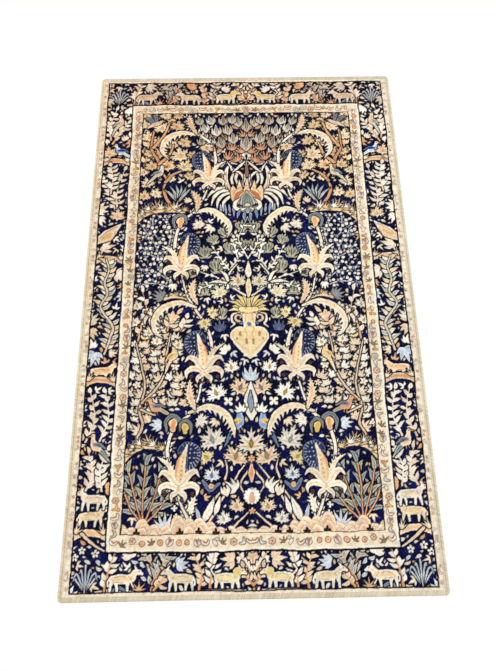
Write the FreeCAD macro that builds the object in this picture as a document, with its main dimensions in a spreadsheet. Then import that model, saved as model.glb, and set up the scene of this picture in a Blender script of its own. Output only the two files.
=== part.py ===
import FreeCAD, Part
import Sketcher
import math
import os

# Pictorial tapestry wall hanging: a woven picture panel with a cotton lining, bound round its edge with
# a corded tape, hung by a cloth sleeve on a steel tube that rests in two open wall hooks.
#
# Frame, in millimetres: X runs along the wall, Y points into the wall and Z is up. The wall is the plane
# Y = 0, and the origin is the middle of the four screw holes in the two wall brackets. The tube's axis is
# straight in front of the origin. The picture faces -Y.

SIZES = [
    ("hanging_width", 914, "finished width over the bindings, 3 ft"),
    ("hanging_height", 1524, "finished height over the bindings, 5 ft"),
    ("corner_radius", 12, "rounding of the bound corners"),
    ("top_above_rod", 34, "from the tube's axis up to the top edge"),
    ("binding_width", 12, "tape that shows on the front"),
    ("binding_thickness", 6.4, "front of the roll to its back"),
    ("binding_wall", 0.9, "thickness of the tape"),
    ("binding_roll", 3.0, "rounding of the roll's outer edge"),
    ("pile_thickness", 3.6, "woven panel with its pile"),
    ("lining_thickness", 0.8, "cotton lining"),
    ("cloth_play", 0.1, "between the cloth layers and the tape, each side"),
    ("panel_inset", 5.6, "outer edge to the panel's own edge"),
    ("cord_diameter", 4.4, "filler cord inside the binding"),
    ("cord_inset", 3.2, "outer edge to the cord's axis"),
    ("rod_diameter", 12, "steel tube"),
    ("rod_wall", 1.2, "wall of the steel tube"),
    ("rod_length", 860, "shorter than the hanging, so it is hidden"),
    ("rod_from_wall", 11, "wall to the tube's axis"),
    ("lining_from_rod", 9, "tube's axis to the back of the lining"),
    ("sleeve_length", 240, "each of the three cloth sleeves"),
    ("sleeve_spacing", 262, "middle of one sleeve to the next"),
    ("sleeve_wall", 0.8, "cloth of the sleeve"),
    ("sleeve_play", 0.08, "radial play of the tube in the sleeve"),
    ("sleeve_hem", 12, "height of each sewn hem of the sleeve"),
    ("stitch_diameter", 0.8, "sewing thread"),
    ("stitch_length", 7, "one visible stitch"),
    ("stitch_pitch", 16, "from one stitch to the next"),
    ("collar_diameter", 15, "end cap collar, wider than the hook"),
    ("collar_length", 3, "end cap collar"),
    ("collar_rounding", 1, "rounded outer rim of the collar"),
    ("spigot_length", 12, "end cap plug inside the tube"),
    ("spigot_play", 0.05, "radial play of the plug"),
    ("spigot_chamfer", 0.8, "lead-in of the plug"),
    ("bracket_spacing", 806, "middle of one bracket to the other"),
    ("plate_width", 24, "back plate"),
    ("plate_height", 56, "back plate"),
    ("plate_thickness", 2.5, "back plate"),
    ("plate_rounding", 6, "corners of the back plate"),
    ("hook_width", 18, "hook along the tube"),
    ("hook_wall", 2, "thickness of the hook's cup"),
    ("hook_play", 0.08, "radial play of the tube in the cup"),
    ("hook_lip", 3, "front lip above the tube's axis"),
    ("hole_spacing", 40, "upper screw hole to the lower one"),
    ("hole_diameter", 4.5, "clear hole for a 4 mm screw"),
    ("countersink_diameter", 9, "for the screw's head"),
]

doc = FreeCAD.newDocument("tapestry_wall_hanging")
sheet = doc.addObject("Spreadsheet::Sheet", "Sizes")
for row, (alias, value, what) in enumerate(SIZES, start=1):
    sheet.set(f"A{row}", alias)
    sheet.set(f"B{row}", str(value))
    sheet.set(f"C{row}", what)
    sheet.setAlias(f"B{row}", alias)
doc.recompute()

sub_parts = []

# Expressions that several sub-parts share.
CLOTH_STACK = "(Sizes.pile_thickness + Sizes.lining_thickness)"
SLOT = f"({CLOTH_STACK} + 2 * Sizes.cloth_play)"
LINING_BACK = "(-Sizes.rod_from_wall - Sizes.lining_from_rod)"
CLOTH_MIDDLE_Y = f"({LINING_BACK} - {CLOTH_STACK} / 2)"
CLOTH_MIDDLE_Z = "(Sizes.top_above_rod - Sizes.hanging_height / 2)"
ROD_RADIUS = "(Sizes.rod_diameter / 2)"
BORE_RADIUS = "(Sizes.rod_diameter / 2 - Sizes.rod_wall)"
CUP_RADIUS = "(Sizes.rod_diameter / 2 + Sizes.hook_play)"
HOOK_RADIUS = f"({CUP_RADIUS} + Sizes.hook_wall)"
CAVITY_RADIUS = "(Sizes.rod_diameter / 2 + Sizes.sleeve_play)"
SLEEVE_RADIUS = f"({CAVITY_RADIUS} + Sizes.sleeve_wall)"


def size(alias):
    """A driving dimension as a number."""
    return float(sheet.get(alias))


def bind(obj, **expressions):
    """Binds properties to the sheet. A double underscore stands for a dot, as in Placement__Base__x."""
    for name, expression in expressions.items():
        obj.setExpression(name.replace("__", "."), str(expression))
    return obj


def place(obj, x="0", y="0", z="0"):
    """Binds where an object stands."""
    return bind(
        obj,
        Placement__Base__x=f"1 mm * ({x})",
        Placement__Base__y=f"1 mm * ({y})",
        Placement__Base__z=f"1 mm * ({z})",
    )


def finished(obj, name):
    """Marks an object as a sub-part, whose Label names its file."""
    obj.Label = name
    sub_parts.append(obj)
    return obj


def body_sketch(body, role, name):
    """A sketch on one of a body's own origin planes."""
    sketch = body.newObject("Sketcher::SketchObject", name)
    plane = next(f for f in body.Origin.OriginFeatures if f.Role == role)
    sketch.AttachmentSupport = [(plane, "")]
    sketch.MapMode = "FlatFace"
    return sketch


def centred_rectangle(sketch, width, height):
    """Four lines about the sketch's origin, width across and height up, as expressions."""
    corners = [FreeCAD.Vector(x, y, 0) for x, y in ((-50, -50), (50, -50), (50, 50), (-50, 50))]
    for i in range(4):
        sketch.addGeometry(Part.LineSegment(corners[i], corners[(i + 1) % 4]), False)
    for i in range(4):
        sketch.addConstraint(Sketcher.Constraint("Coincident", i, 2, (i + 1) % 4, 1))
    for line in (0, 2):
        sketch.addConstraint(Sketcher.Constraint("Horizontal", line))
    for line in (1, 3):
        sketch.addConstraint(Sketcher.Constraint("Vertical", line))
    sketch.addConstraint(Sketcher.Constraint("Symmetric", 0, 1, 2, 1, -1, 1))
    across = sketch.addConstraint(Sketcher.Constraint("DistanceX", 0, 1, 0, 2, 100))
    up = sketch.addConstraint(Sketcher.Constraint("DistanceY", 1, 1, 1, 2, 100))
    sketch.setExpression(f"Constraints[{across}]", width)
    sketch.setExpression(f"Constraints[{up}]", height)


def symmetric_pad(body, sketch, length, name):
    """A pad that reaches half its length to each side of its sketch."""
    pad = body.newObject("PartDesign::Pad", name)
    pad.Profile = sketch
    pad.SideType = "Symmetric"
    pad.setExpression("Length", length)
    sketch.Visibility = False
    doc.recompute()
    return pad


def edges_along(shape, direction):
    """Names of the straight edges parallel to a direction."""
    names = []
    for i, edge in enumerate(shape.Edges, start=1):
        if edge.Curve.TypeId != "Part::GeomLine":
            continue
        along = edge.tangentAt(edge.FirstParameter)
        if abs(along.dot(direction)) > 0.999:
            names.append(f"Edge{i}")
    return names


def body_fillet(body, base, edges, radius, name):
    """Rounds the named edges of a feature."""
    fillet = body.newObject("PartDesign::Fillet", name)
    fillet.Base = (base, edges)
    fillet.setExpression("Radius", radius)
    doc.recompute()
    return fillet


def sheet_of_cloth(name, inset, thickness):
    """A body: a flat cloth with rounded corners, set in from the hanging's outer edge by inset."""
    body = doc.addObject("PartDesign::Body", name)
    outline = body_sketch(body, "XZ_Plane", f"{name}_outline")
    centred_rectangle(outline, f"Sizes.hanging_width - 2 * {inset}", f"Sizes.hanging_height - 2 * {inset}")
    pad = symmetric_pad(body, outline, thickness, f"{name}_pad")
    upright = edges_along(pad.Shape, FreeCAD.Vector(0, 1, 0))
    body_fillet(body, pad, upright, f"Sizes.corner_radius - {inset}", f"{name}_corners")
    return body


def cylinder_along_x(name, radius, length, y="0", x="0"):
    """A Part cylinder whose axis is parallel to X, with its middle at x, y."""
    rod = doc.addObject("Part::Cylinder", name)
    bind(rod, Radius=radius, Height=length)
    rod.Placement = FreeCAD.Placement(FreeCAD.Vector(), FreeCAD.Rotation(FreeCAD.Vector(0, 1, 0), 90))
    return place(rod, x=f"{x} - ({length}) / 2", y=y)


def box(name, length, width, height, x="0", y="0", z="0"):
    """A Part box with its lowest corner at x, y, z."""
    block = doc.addObject("Part::Box", name)
    bind(block, Length=length, Width=width, Height=height)
    return place(block, x, y, z)


def fuse(name, *shapes):
    joined = doc.addObject("Part::MultiFuse", name)
    joined.Shapes = list(shapes)
    joined.Refine = True
    return joined


def cut(name, base, tool):
    rest = doc.addObject("Part::Cut", name)
    rest.Base = base
    rest.Tool = tool
    return rest


# The woven picture and its lining.
def make_picture_panel():
    panel = sheet_of_cloth("picture_panel", "Sizes.panel_inset", "Sizes.pile_thickness")
    place(panel, y=f"{LINING_BACK} - Sizes.lining_thickness - Sizes.pile_thickness / 2", z=CLOTH_MIDDLE_Z)
    finished(panel, "picture_panel")


def make_lining():
    lining = sheet_of_cloth("lining", "Sizes.panel_inset", "Sizes.lining_thickness")
    place(lining, y=f"{LINING_BACK} - Sizes.lining_thickness / 2", z=CLOTH_MIDDLE_Z)
    finished(lining, "lining")


# The filler cord that gives the binding its round edge: one closed loop.
def make_edge_cord():
    body = doc.addObject("PartDesign::Body", "edge_cord")
    half_width = size("hanging_width") / 2 - size("cord_inset")
    half_height = size("hanging_height") / 2 - size("cord_inset")
    bend = size("corner_radius") - size("cord_inset")
    path = body_sketch(body, "XZ_Plane", "cord_path")
    centres = [(1, -1), (1, 1), (-1, 1), (-1, -1)]
    for i, (right, up) in enumerate(centres):
        centre = FreeCAD.Vector(right * (half_width - bend), up * (half_height - bend), 0)
        first = math.radians(90 * i - 90)
        circle = Part.Circle(centre, FreeCAD.Vector(0, 0, 1), bend)
        path.addGeometry(Part.ArcOfCircle(circle, first, first + math.pi / 2), False)
    ends = [path.Geometry[i] for i in range(4)]
    for i in range(4):
        path.addGeometry(Part.LineSegment(ends[i].EndPoint, ends[(i + 1) % 4].StartPoint), False)
    for i in range(4):
        path.addConstraint(Sketcher.Constraint("Tangent", i, 2, 4 + i, 1))
        path.addConstraint(Sketcher.Constraint("Tangent", 4 + i, 2, (i + 1) % 4, 1))
    for i in range(3):
        path.addConstraint(Sketcher.Constraint("Equal", i, i + 1))
    path.addConstraint(Sketcher.Constraint("Vertical", 4))
    path.addConstraint(Sketcher.Constraint("Horizontal", 5))
    path.addConstraint(Sketcher.Constraint("Symmetric", 0, 3, 2, 3, -1, 1))
    for kind, first, second, value, expression in (
        ("DistanceX", 2, 0, 2 * (half_width - bend), "Sizes.hanging_width - 2 * Sizes.corner_radius"),
        ("DistanceY", 0, 1, 2 * (half_height - bend), "Sizes.hanging_height - 2 * Sizes.corner_radius"),
    ):
        made = path.addConstraint(Sketcher.Constraint(kind, first, 3, second, 3, value))
        path.setExpression(f"Constraints[{made}]", expression)
    made = path.addConstraint(Sketcher.Constraint("Radius", 0, bend))
    path.setExpression(f"Constraints[{made}]", "Sizes.corner_radius - Sizes.cord_inset")
    section = body_sketch(body, "XY_Plane", "cord_section")
    cord_middle = FreeCAD.Vector(half_width, 0, 0)
    cord_circle = Part.Circle(cord_middle, FreeCAD.Vector(0, 0, 1), size("cord_diameter") / 2)
    section.addGeometry(cord_circle, False)
    section.addConstraint(Sketcher.Constraint("PointOnObject", 0, 3, -1))
    made = section.addConstraint(Sketcher.Constraint("DistanceX", -1, 1, 0, 3, half_width))
    section.setExpression(f"Constraints[{made}]", "Sizes.hanging_width / 2 - Sizes.cord_inset")
    made = section.addConstraint(Sketcher.Constraint("Diameter", 0, size("cord_diameter")))
    section.setExpression(f"Constraints[{made}]", "Sizes.cord_diameter")
    doc.recompute()
    sweep = body.newObject("PartDesign::AdditivePipe", "cord_sweep")
    sweep.Profile = section
    sweep.Spine = path
    doc.recompute()
    place(body, y=CLOTH_MIDDLE_Y, z=CLOTH_MIDDLE_Z)
    finished(body, "edge_cord")


# The binding: a tape folded round the cord and the cloth's edge, in four strips mitred at the corners.
def rounded_frame(name, inset, thickness, rim_radius):
    """A body like sheet_of_cloth, with the rims of both faces rounded too."""
    body = sheet_of_cloth(name, inset, thickness)
    slab = body.Tip
    half = slab.Shape.BoundBox.YLength / 2
    rims = []
    for i, edge in enumerate(slab.Shape.Edges, start=1):
        if abs(abs(edge.CenterOfMass.y) - half) < 0.01:
            rims.append(f"Edge{i}")
    body_fillet(body, slab, rims, rim_radius, f"{name}_rims")
    return body


def make_binding_shell():
    """The hollow ring that the four strips are cut from."""
    roll = rounded_frame("binding_roll_body", "0", "Sizes.binding_thickness", "Sizes.binding_roll")
    window = body_sketch(roll, "XZ_Plane", "binding_window_outline")
    side = "2 * Sizes.binding_width"
    centred_rectangle(window, f"Sizes.hanging_width - {side}", f"Sizes.hanging_height - {side}")
    pocket = roll.newObject("PartDesign::Pocket", "binding_window")
    pocket.Profile = window
    pocket.SideType = "Symmetric"
    pocket.setExpression("Length", "Sizes.binding_thickness + 2")
    doc.recompute()
    slot_roll = "Sizes.binding_roll - Sizes.binding_wall"
    slot = rounded_frame("binding_slot_body", "Sizes.binding_wall", SLOT, slot_roll)
    for body in (roll, slot):
        place(body, y=CLOTH_MIDDLE_Y, z=CLOTH_MIDDLE_Z)
    shell = cut("binding_shell", roll, slot)
    doc.recompute()
    if shell.Shape.Volume > 0.6 * roll.Shape.Volume:
        raise RuntimeError("the slot for the cloth is missing from the binding")
    return shell


def make_bindings():
    shell = make_binding_shell()
    reach = "(Sizes.binding_width + 1)"
    width, height = "Sizes.hanging_width", "Sizes.hanging_height"
    half_width, half_height = "(Sizes.hanging_width / 2)", "(Sizes.hanging_height / 2)"
    right, up = FreeCAD.Vector(1, 0, 0), FreeCAD.Vector(0, 0, 1)
    sides = (
        ("binding_bottom", width, right, up, "0", f"-{half_height}"),
        ("binding_top", width, -right, -up, "0", half_height),
        ("binding_left", height, -up, right, f"-{half_width}", "0"),
        ("binding_right", height, up, -right, half_width, "0"),
    )
    for name, length, along, inward, x, z in sides:
        mitre = doc.addObject("Part::Wedge", f"{name}_mitre")
        bind(
            mitre,
            Xmin=f"-{length} / 2",
            Xmax=f"{length} / 2",
            Ymin="0 mm",
            Ymax=reach,
            Zmin="-Sizes.binding_thickness",
            Zmax="Sizes.binding_thickness",
            X2min=f"-{length} / 2 + {reach}",
            X2max=f"{length} / 2 - {reach}",
            Z2min="-Sizes.binding_thickness",
            Z2max="Sizes.binding_thickness",
        )
        turn = FreeCAD.Rotation(along, inward, FreeCAD.Vector(), "XYZ")
        mitre.Placement = FreeCAD.Placement(FreeCAD.Vector(), turn)
        place(mitre, x=x, y=CLOTH_MIDDLE_Y, z=f"{CLOTH_MIDDLE_Z} + {z}")
        strip = doc.addObject("Part::Common", name)
        strip.Base = shell
        strip.Tool = mitre
        finished(strip, name)


# The sleeves on the back: three short cloth tubes, each flat against the lining, with a sewn hem above and
# below. The gaps between them leave the tube bare, so that it can be held while it is hooked up.
def make_rod_sleeve(name, place_in_row):
    """place_in_row is -1, 0 or 1 from the left sleeve to the right one."""
    rod_y = "-Sizes.rod_from_wall"
    length = "Sizes.sleeve_length"
    middle = f"({place_in_row} * Sizes.sleeve_spacing)"
    start = f"({middle} - {length} / 2)"
    roll = cylinder_along_x(f"{name}_roll", SLEEVE_RADIUS, length, rod_y, x=middle)
    side_height = f"2 * {SLEEVE_RADIUS}"
    below = f"-{SLEEVE_RADIUS}"
    sides = box(f"{name}_sides", length, "Sizes.lining_from_rod", side_height, start, LINING_BACK, below)
    reach = f"({SLEEVE_RADIUS} + Sizes.sleeve_hem)"
    hems = box(f"{name}_hems", length, "Sizes.sleeve_wall", f"2 * {reach}", start, LINING_BACK, f"-{reach}")
    long = f"{length} + 2"
    hollow = cylinder_along_x(f"{name}_hollow", CAVITY_RADIUS, long, rod_y, x=middle)
    hollow_sides = box(
        f"{name}_hollow_sides",
        long,
        "Sizes.lining_from_rod - Sizes.sleeve_wall",
        f"2 * {CAVITY_RADIUS}",
        f"{start} - 1",
        f"{LINING_BACK} + Sizes.sleeve_wall",
        f"-{CAVITY_RADIUS}",
    )
    cloth = fuse(f"{name}_cloth", roll, sides, hems)
    cavity = fuse(f"{name}_cavity", hollow, hollow_sides)
    finished(cut(name, cloth, cavity), name)


def make_sleeve_stitches():
    """Two rows of running stitches on each sleeve, one to a hem. Each stitch is a solid of its own."""
    radius, length, pitch = size("stitch_diameter") / 2, size("stitch_length"), size("stitch_pitch")
    hem_middle = size("rod_diameter") / 2 + size("sleeve_play") + size("sleeve_wall") + size("sleeve_hem") / 2
    surface_y = -size("rod_from_wall") - size("lining_from_rod") + size("sleeve_wall")
    count = int(size("sleeve_length") // pitch)
    along = FreeCAD.Vector(1, 0, 0)
    stitches = []
    for place_in_row in (-1, 0, 1):
        first = place_in_row * size("sleeve_spacing") - (count - 1) * pitch / 2 - length / 2
        for i in range(count):
            for z in (-hem_middle, hem_middle):
                foot = FreeCAD.Vector(first + i * pitch, 0, z)
                stitches.append(Part.makeCylinder(radius, length, foot, along))
    rows = doc.addObject("Part::Feature", "sleeve_stitches")
    rows.Shape = Part.Compound(stitches)
    rows.Placement = FreeCAD.Placement(FreeCAD.Vector(0, surface_y + radius, 0), FreeCAD.Rotation())
    finished(rows, "sleeve_stitches")


# The steel tube and the plugs in its ends.
def make_hanging_rod():
    body = doc.addObject("PartDesign::Body", "hanging_rod")
    section = body_sketch(body, "YZ_Plane", "tube_section")
    for i, (radius, expression) in enumerate(((6, ROD_RADIUS), (4.8, BORE_RADIUS))):
        section.addGeometry(Part.Circle(FreeCAD.Vector(), FreeCAD.Vector(0, 0, 1), radius), False)
        section.addConstraint(Sketcher.Constraint("Coincident", i, 3, -1, 1))
        made = section.addConstraint(Sketcher.Constraint("Radius", i, radius))
        section.setExpression(f"Constraints[{made}]", expression)
    symmetric_pad(body, section, "Sizes.rod_length", "tube_pad")
    place(body, y="-Sizes.rod_from_wall")
    finished(body, "hanging_rod")


def make_end_cap(name, side):
    """A plug with a collar wider than the hook. side is 1 at the right end and -1 at the left one."""
    spigot_radius = f"({BORE_RADIUS} - Sizes.spigot_play)"
    body = doc.addObject("PartDesign::Body", name)
    for part, plane_radius, length, reverse in (
        ("collar", "Sizes.collar_diameter / 2", "Sizes.collar_length", False),
        ("spigot", spigot_radius, "Sizes.spigot_length", True),
    ):
        disc = body_sketch(body, "YZ_Plane", f"{name}_{part}_disc")
        disc.addGeometry(Part.Circle(FreeCAD.Vector(), FreeCAD.Vector(0, 0, 1), 5), False)
        disc.addConstraint(Sketcher.Constraint("Coincident", 0, 3, -1, 1))
        made = disc.addConstraint(Sketcher.Constraint("Radius", 0, 5))
        disc.setExpression(f"Constraints[{made}]", plane_radius)
        pad = body.newObject("PartDesign::Pad", f"{name}_{part}")
        pad.Profile = disc
        pad.Reversed = reverse
        pad.setExpression("Length", length)
        doc.recompute()
    rim = round_edge_at(pad.Shape, size("collar_length"))
    rounded = body_fillet(body, pad, [rim], "Sizes.collar_rounding", f"{name}_rim")
    tip = round_edge_at(rounded.Shape, -size("spigot_length"))
    lead_in = body.newObject("PartDesign::Chamfer", f"{name}_lead_in")
    lead_in.Base = (rounded, [tip])
    lead_in.setExpression("Size", "Sizes.spigot_chamfer")
    doc.recompute()
    if side < 0:
        body.Placement = FreeCAD.Placement(FreeCAD.Vector(), FreeCAD.Rotation(FreeCAD.Vector(0, 0, 1), 180))
    place(body, x=f"{side} * Sizes.rod_length / 2", y="-Sizes.rod_from_wall")
    finished(body, name)


def round_edge_at(shape, x):
    """The name of the circular edge in the plane at x."""
    for i, edge in enumerate(shape.Edges, start=1):
        if edge.Curve.TypeId == "Part::GeomCircle" and abs(edge.CenterOfMass.x - x) < 0.01:
            return f"Edge{i}"
    raise RuntimeError(f"no round edge at x = {x}")


# A wall bracket: a back plate with two countersunk screw holes, and an open cup that the tube drops into.
def make_bracket_plate(name):
    body = doc.addObject("PartDesign::Body", f"{name}_plate")
    outline = body_sketch(body, "XZ_Plane", f"{name}_plate_outline")
    centred_rectangle(outline, "Sizes.plate_width", "Sizes.plate_height")
    pad = symmetric_pad(body, outline, "Sizes.plate_thickness", f"{name}_plate_pad")
    upright = edges_along(pad.Shape, FreeCAD.Vector(0, 1, 0))
    body_fillet(body, pad, upright, "Sizes.plate_rounding", f"{name}_plate_corners")
    place(body, y="-Sizes.plate_thickness / 2")
    return body


def make_screw_hole(name, side):
    """The space that a countersunk screw takes: a clear hole and a cone that opens towards the room."""
    hole_z = f"{side} * Sizes.hole_spacing / 2"
    to_room = FreeCAD.Placement(FreeCAD.Vector(), FreeCAD.Rotation(FreeCAD.Vector(1, 0, 0), 90))
    drill = doc.addObject("Part::Cylinder", f"{name}_drill")
    drill.Placement = to_room
    bind(drill, Radius="Sizes.hole_diameter / 2", Height="Sizes.plate_thickness + 2")
    place(drill, y="1", z=hole_z)
    sink = doc.addObject("Part::Cone", f"{name}_countersink")
    sink.Placement = to_room
    depth = "((Sizes.countersink_diameter - Sizes.hole_diameter) / 2)"
    bind(sink, Radius1="Sizes.hole_diameter / 2", Radius2="Sizes.countersink_diameter / 2", Height=depth)
    place(sink, y=f"-Sizes.plate_thickness + {depth}", z=hole_z)
    return drill, sink


def make_bracket(name, side):
    """side is 1 for the right bracket and -1 for the left one."""
    rod_y = "-Sizes.rod_from_wall"
    width, start = "Sizes.hook_width", "-Sizes.hook_width / 2"
    plate = make_bracket_plate(name)
    cup = cylinder_along_x(f"{name}_cup", HOOK_RADIUS, width, rod_y)
    arm = box(
        f"{name}_arm", width, "Sizes.rod_from_wall - Sizes.plate_thickness / 2", HOOK_RADIUS, start, rod_y,
        f"-{HOOK_RADIUS}",
    )
    lip = box(
        f"{name}_lip", width, "Sizes.hook_wall", "Sizes.hook_lip", start, f"{rod_y} - {HOOK_RADIUS}", "0"
    )
    above = box(
        f"{name}_above", width, f"2 * {HOOK_RADIUS}", HOOK_RADIUS, start, f"{rod_y} - {HOOK_RADIUS}", "0"
    )
    lower_cup = cut(f"{name}_lower_cup", cup, above)
    metal = fuse(f"{name}_metal", plate, lower_cup, arm, lip)
    bore = cylinder_along_x(f"{name}_bore", CUP_RADIUS, f"({width} + 2)", rod_y)
    mouth = box(
        f"{name}_mouth", f"{width} + 2", f"2 * {CUP_RADIUS}", "Sizes.hook_lip + 1", f"{start} - 1",
        f"{rod_y} - {CUP_RADIUS}", "0",
    )
    tools = [bore, mouth, *make_screw_hole(f"{name}_upper", 1), *make_screw_hole(f"{name}_lower", -1)]
    bracket = cut(name, metal, fuse(f"{name}_removed", *tools))
    place(bracket, x=f"{side} * Sizes.bracket_spacing / 2")
    finished(bracket, name)


def check_and_export():
    doc.recompute()
    failed = [o.Name for o in doc.Objects if {"Invalid", "Error"} & set(o.State)]
    if failed:
        raise RuntimeError(f"these objects failed: {failed}")
    os.makedirs("parts", exist_ok=True)
    for part in sub_parts:
        shape = part.Shape
        if shape.isNull() or not shape.isValid() or not shape.Solids:
            raise RuntimeError(f"{part.Label} has no valid solid")
        low_high = shape.BoundBox
        print(
            f"{part.Label}: {len(shape.Solids)} solid(s), {shape.Volume / 1000:.2f} cm3, "
            f"{low_high.XLength:.1f} x {low_high.YLength:.1f} x {low_high.ZLength:.1f} mm"
        )
        shape.exportStep(f"parts/{part.Label}.step")


make_picture_panel()
make_lining()
make_edge_cord()
make_bindings()
for sleeve_name, sleeve_place in (("rod_sleeve_left", -1), ("rod_sleeve_middle", 0), ("rod_sleeve_right", 1)):
    make_rod_sleeve(sleeve_name, sleeve_place)
make_sleeve_stitches()
make_hanging_rod()
for cap_name, cap_side in (("rod_end_cap_left", -1), ("rod_end_cap_right", 1)):
    make_end_cap(cap_name, cap_side)
for bracket_name, bracket_side in (("wall_bracket_left", -1), ("wall_bracket_right", 1)):
    make_bracket(bracket_name, bracket_side)
check_and_export()
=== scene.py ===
"""The looks of the tapestry wall hanging: its woven picture, bound edges, lining, sleeves and hardware."""

import math

import bpy
import numpy as np
from mathutils import Euler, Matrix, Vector


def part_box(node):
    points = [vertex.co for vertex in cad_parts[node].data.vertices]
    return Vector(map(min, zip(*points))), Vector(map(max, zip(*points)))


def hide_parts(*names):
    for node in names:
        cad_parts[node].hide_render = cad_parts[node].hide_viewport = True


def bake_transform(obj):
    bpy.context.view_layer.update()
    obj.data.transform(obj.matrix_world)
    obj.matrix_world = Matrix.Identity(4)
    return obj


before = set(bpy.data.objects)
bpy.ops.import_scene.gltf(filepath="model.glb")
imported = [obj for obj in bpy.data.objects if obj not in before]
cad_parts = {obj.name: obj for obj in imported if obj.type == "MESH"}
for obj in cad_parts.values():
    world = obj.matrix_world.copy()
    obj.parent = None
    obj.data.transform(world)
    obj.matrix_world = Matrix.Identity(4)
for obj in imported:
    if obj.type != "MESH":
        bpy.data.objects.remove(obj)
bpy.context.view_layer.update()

# ---------------------------------------------------------------------------------------------------
# The cartoon: the picture that is woven into the panel, drawn in millimetres. x runs from the centre
# line, negative to the left, and z is up from the hanging's bottom edge. Only the left half is drawn.
# ---------------------------------------------------------------------------------------------------

HALF_WIDTH = 457
HEIGHT = 1524
CARTOON_HALF = 456  # the outermost millimetre lies inside the binding
CARTOON_STEP = 0.75
LINE = 2.5  # the dark line round each motif
FILL_LINE = 1.7  # the same round the small leaves between the motifs
VEIN = 0.70  # how dark a vein is beside the leaf it is in

# The layout of the picture: the navy border lies between two cream guard bands, round the field.
GUARD_OUTER = 24  # hanging's edge to the navy border
GUARD_END = 18  # the same at the top and the bottom
BORDER_INNER = 106  # to the inner guard
BORDER_INNER_END = 107
GUARD_INNER = 140  # to the field
GUARD_INNER_END = 146
FIELD = (-HALF_WIDTH + GUARD_INNER, GUARD_INNER_END, 0, HEIGHT - GUARD_INNER_END + 6)
BORDER_BAND = 112  # how far the end borders reach in from the hanging's ends
BORDER_MIDDLE = -391  # the side border's own centre line
WHOLE_HALF = (-HALF_WIDTH, 0, 0, HEIGHT)


def dye(red, green, blue):
    """A yarn's colour, as it looks on a screen, from 0 to 255."""
    return np.array((red, green, blue), np.float32) / 255


NAVY = dye(14, 18, 74)
INK = dye(2, 0, 6)
WHITE = dye(255, 251, 240)
CREAM = dye(253, 239, 213)
PEACH = dye(240, 194, 150)
PINK = dye(238, 182, 150)
ORANGE = dye(224, 160, 112)
RUST = dye(182, 98, 70)
MAROON = dye(104, 54, 48)
YELLOW = dye(242, 216, 132)
GOLD = dye(222, 176, 88)
OLIVE = dye(150, 148, 112)
GREY = dye(172, 172, 160)
SLATE = dye(92, 104, 126)
BLUE = dye(124, 152, 196)
SKY = dye(188, 206, 226)
TEAL = dye(92, 134, 142)
TAN = dye(214, 178, 126)

# A dyeing is the colour at a motif's rim, the colour inside it and how many millimetres lie between.
IVORY = (WHITE, CREAM, 3)
CREAMY = (WHITE, CREAM, 5)
PEACHY = (CREAM, PEACH, 5)
BLUSH = (CREAM, PINK, 6)
FLAME = (CREAM, ORANGE, 6)
GINGER = (PEACH, ORANGE, 5)
HONEY = (CREAM, YELLOW, 5)
AMBER = (YELLOW, GOLD, 6)
SAGE = (CREAM, OLIVE, 4)
ASH = (CREAM, GREY, 4)
DUSK = (GREY, SLATE, 5)
FROST = (WHITE, SKY, 4)
INDIGO = (BLUE, NAVY, 6)
BARK = (PEACH, ORANGE, 4)


def smooth(points, count):
    """Points along a Catmull-Rom curve through the given ones."""
    points = np.asarray(points, float)
    if len(points) == 2:
        return points[0] + np.linspace(0, 1, count)[:, None] * (points[1] - points[0])
    ends = np.vstack((2 * points[0] - points[1], points, 2 * points[-1] - points[-2]))
    place = np.linspace(0, len(points) - 1, count)
    first = np.minimum(place.astype(int), len(points) - 2)
    t = (place - first)[:, None]
    a, b, c, d = (ends[first + i] for i in range(4))
    return 0.5 * (2 * b + (c - a) * t + (2 * a - 5 * b + 4 * c - d) * t**2 + (3 * b - a - 3 * c + d) * t**3)


def turned(points, angle=0.0, scale=1.0, at=(0, 0), flip=False):
    """Points of a motif drawn at the origin, mirrored, scaled, turned anticlockwise and moved."""
    points = np.asarray(points, float) * scale
    if flip:
        points = points * (-1, 1)
    turn = math.radians(angle)
    cos, sin = math.cos(turn), math.sin(turn)
    return points @ np.array(((cos, sin), (-sin, cos))) + at


class Stroke:
    """A brush stroke through a chain of points, with its own width at each of them."""

    def __init__(self, points, widths, colours, lined=True, height=1.0, per_span=5):
        count = per_span * (len(points) - 1) + 1 if len(points) > 1 else 1
        self.points = smooth(points, count) if count > 1 else np.asarray(points, float)
        spread = np.linspace(0, 1, len(widths)) if len(widths) > 1 else [0]
        self.radii = np.interp(np.linspace(0, 1, len(self.points)), spread, widths) / 2
        self.colours = colours if isinstance(colours, tuple) else (colours, colours, 1)
        self.lined = lined
        self.height = height

    def put(self, angle=0.0, scale=1.0, at=(0, 0), flip=False):
        """The same stroke, moved as turned() moves points."""
        self.points = turned(self.points, angle, scale, at, flip)
        self.radii = self.radii * scale
        return self

    def bounds(self, margin):
        """The rectangle that holds the stroke and a margin round it."""
        reach = float(self.radii.max()) + margin
        return (*(self.points.min(axis=0) - reach), *(self.points.max(axis=0) + reach))

    def distance(self, x, z):
        """How far each place is outside the stroke: below 0 inside it."""
        if len(self.points) == 1:
            return np.hypot(x - self.points[0, 0], z - self.points[0, 1]) - self.radii[0]
        nearest = np.full(np.broadcast_shapes(x.shape, z.shape), 1e9, np.float32)
        for i in range(len(self.points) - 1):
            (ax, az), (bx, bz) = self.points[i : i + 2]
            ra, rb = self.radii[i : i + 2]
            dx, dz = bx - ax, bz - az
            t = np.clip(((x - ax) * dx + (z - az) * dz) / max(dx * dx + dz * dz, 1e-9), 0, 1)
            away = np.hypot(x - ax - t * dx, z - az - t * dz) - (ra + t * (rb - ra))
            np.minimum(nearest, away, out=nearest)
        return nearest


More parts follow.
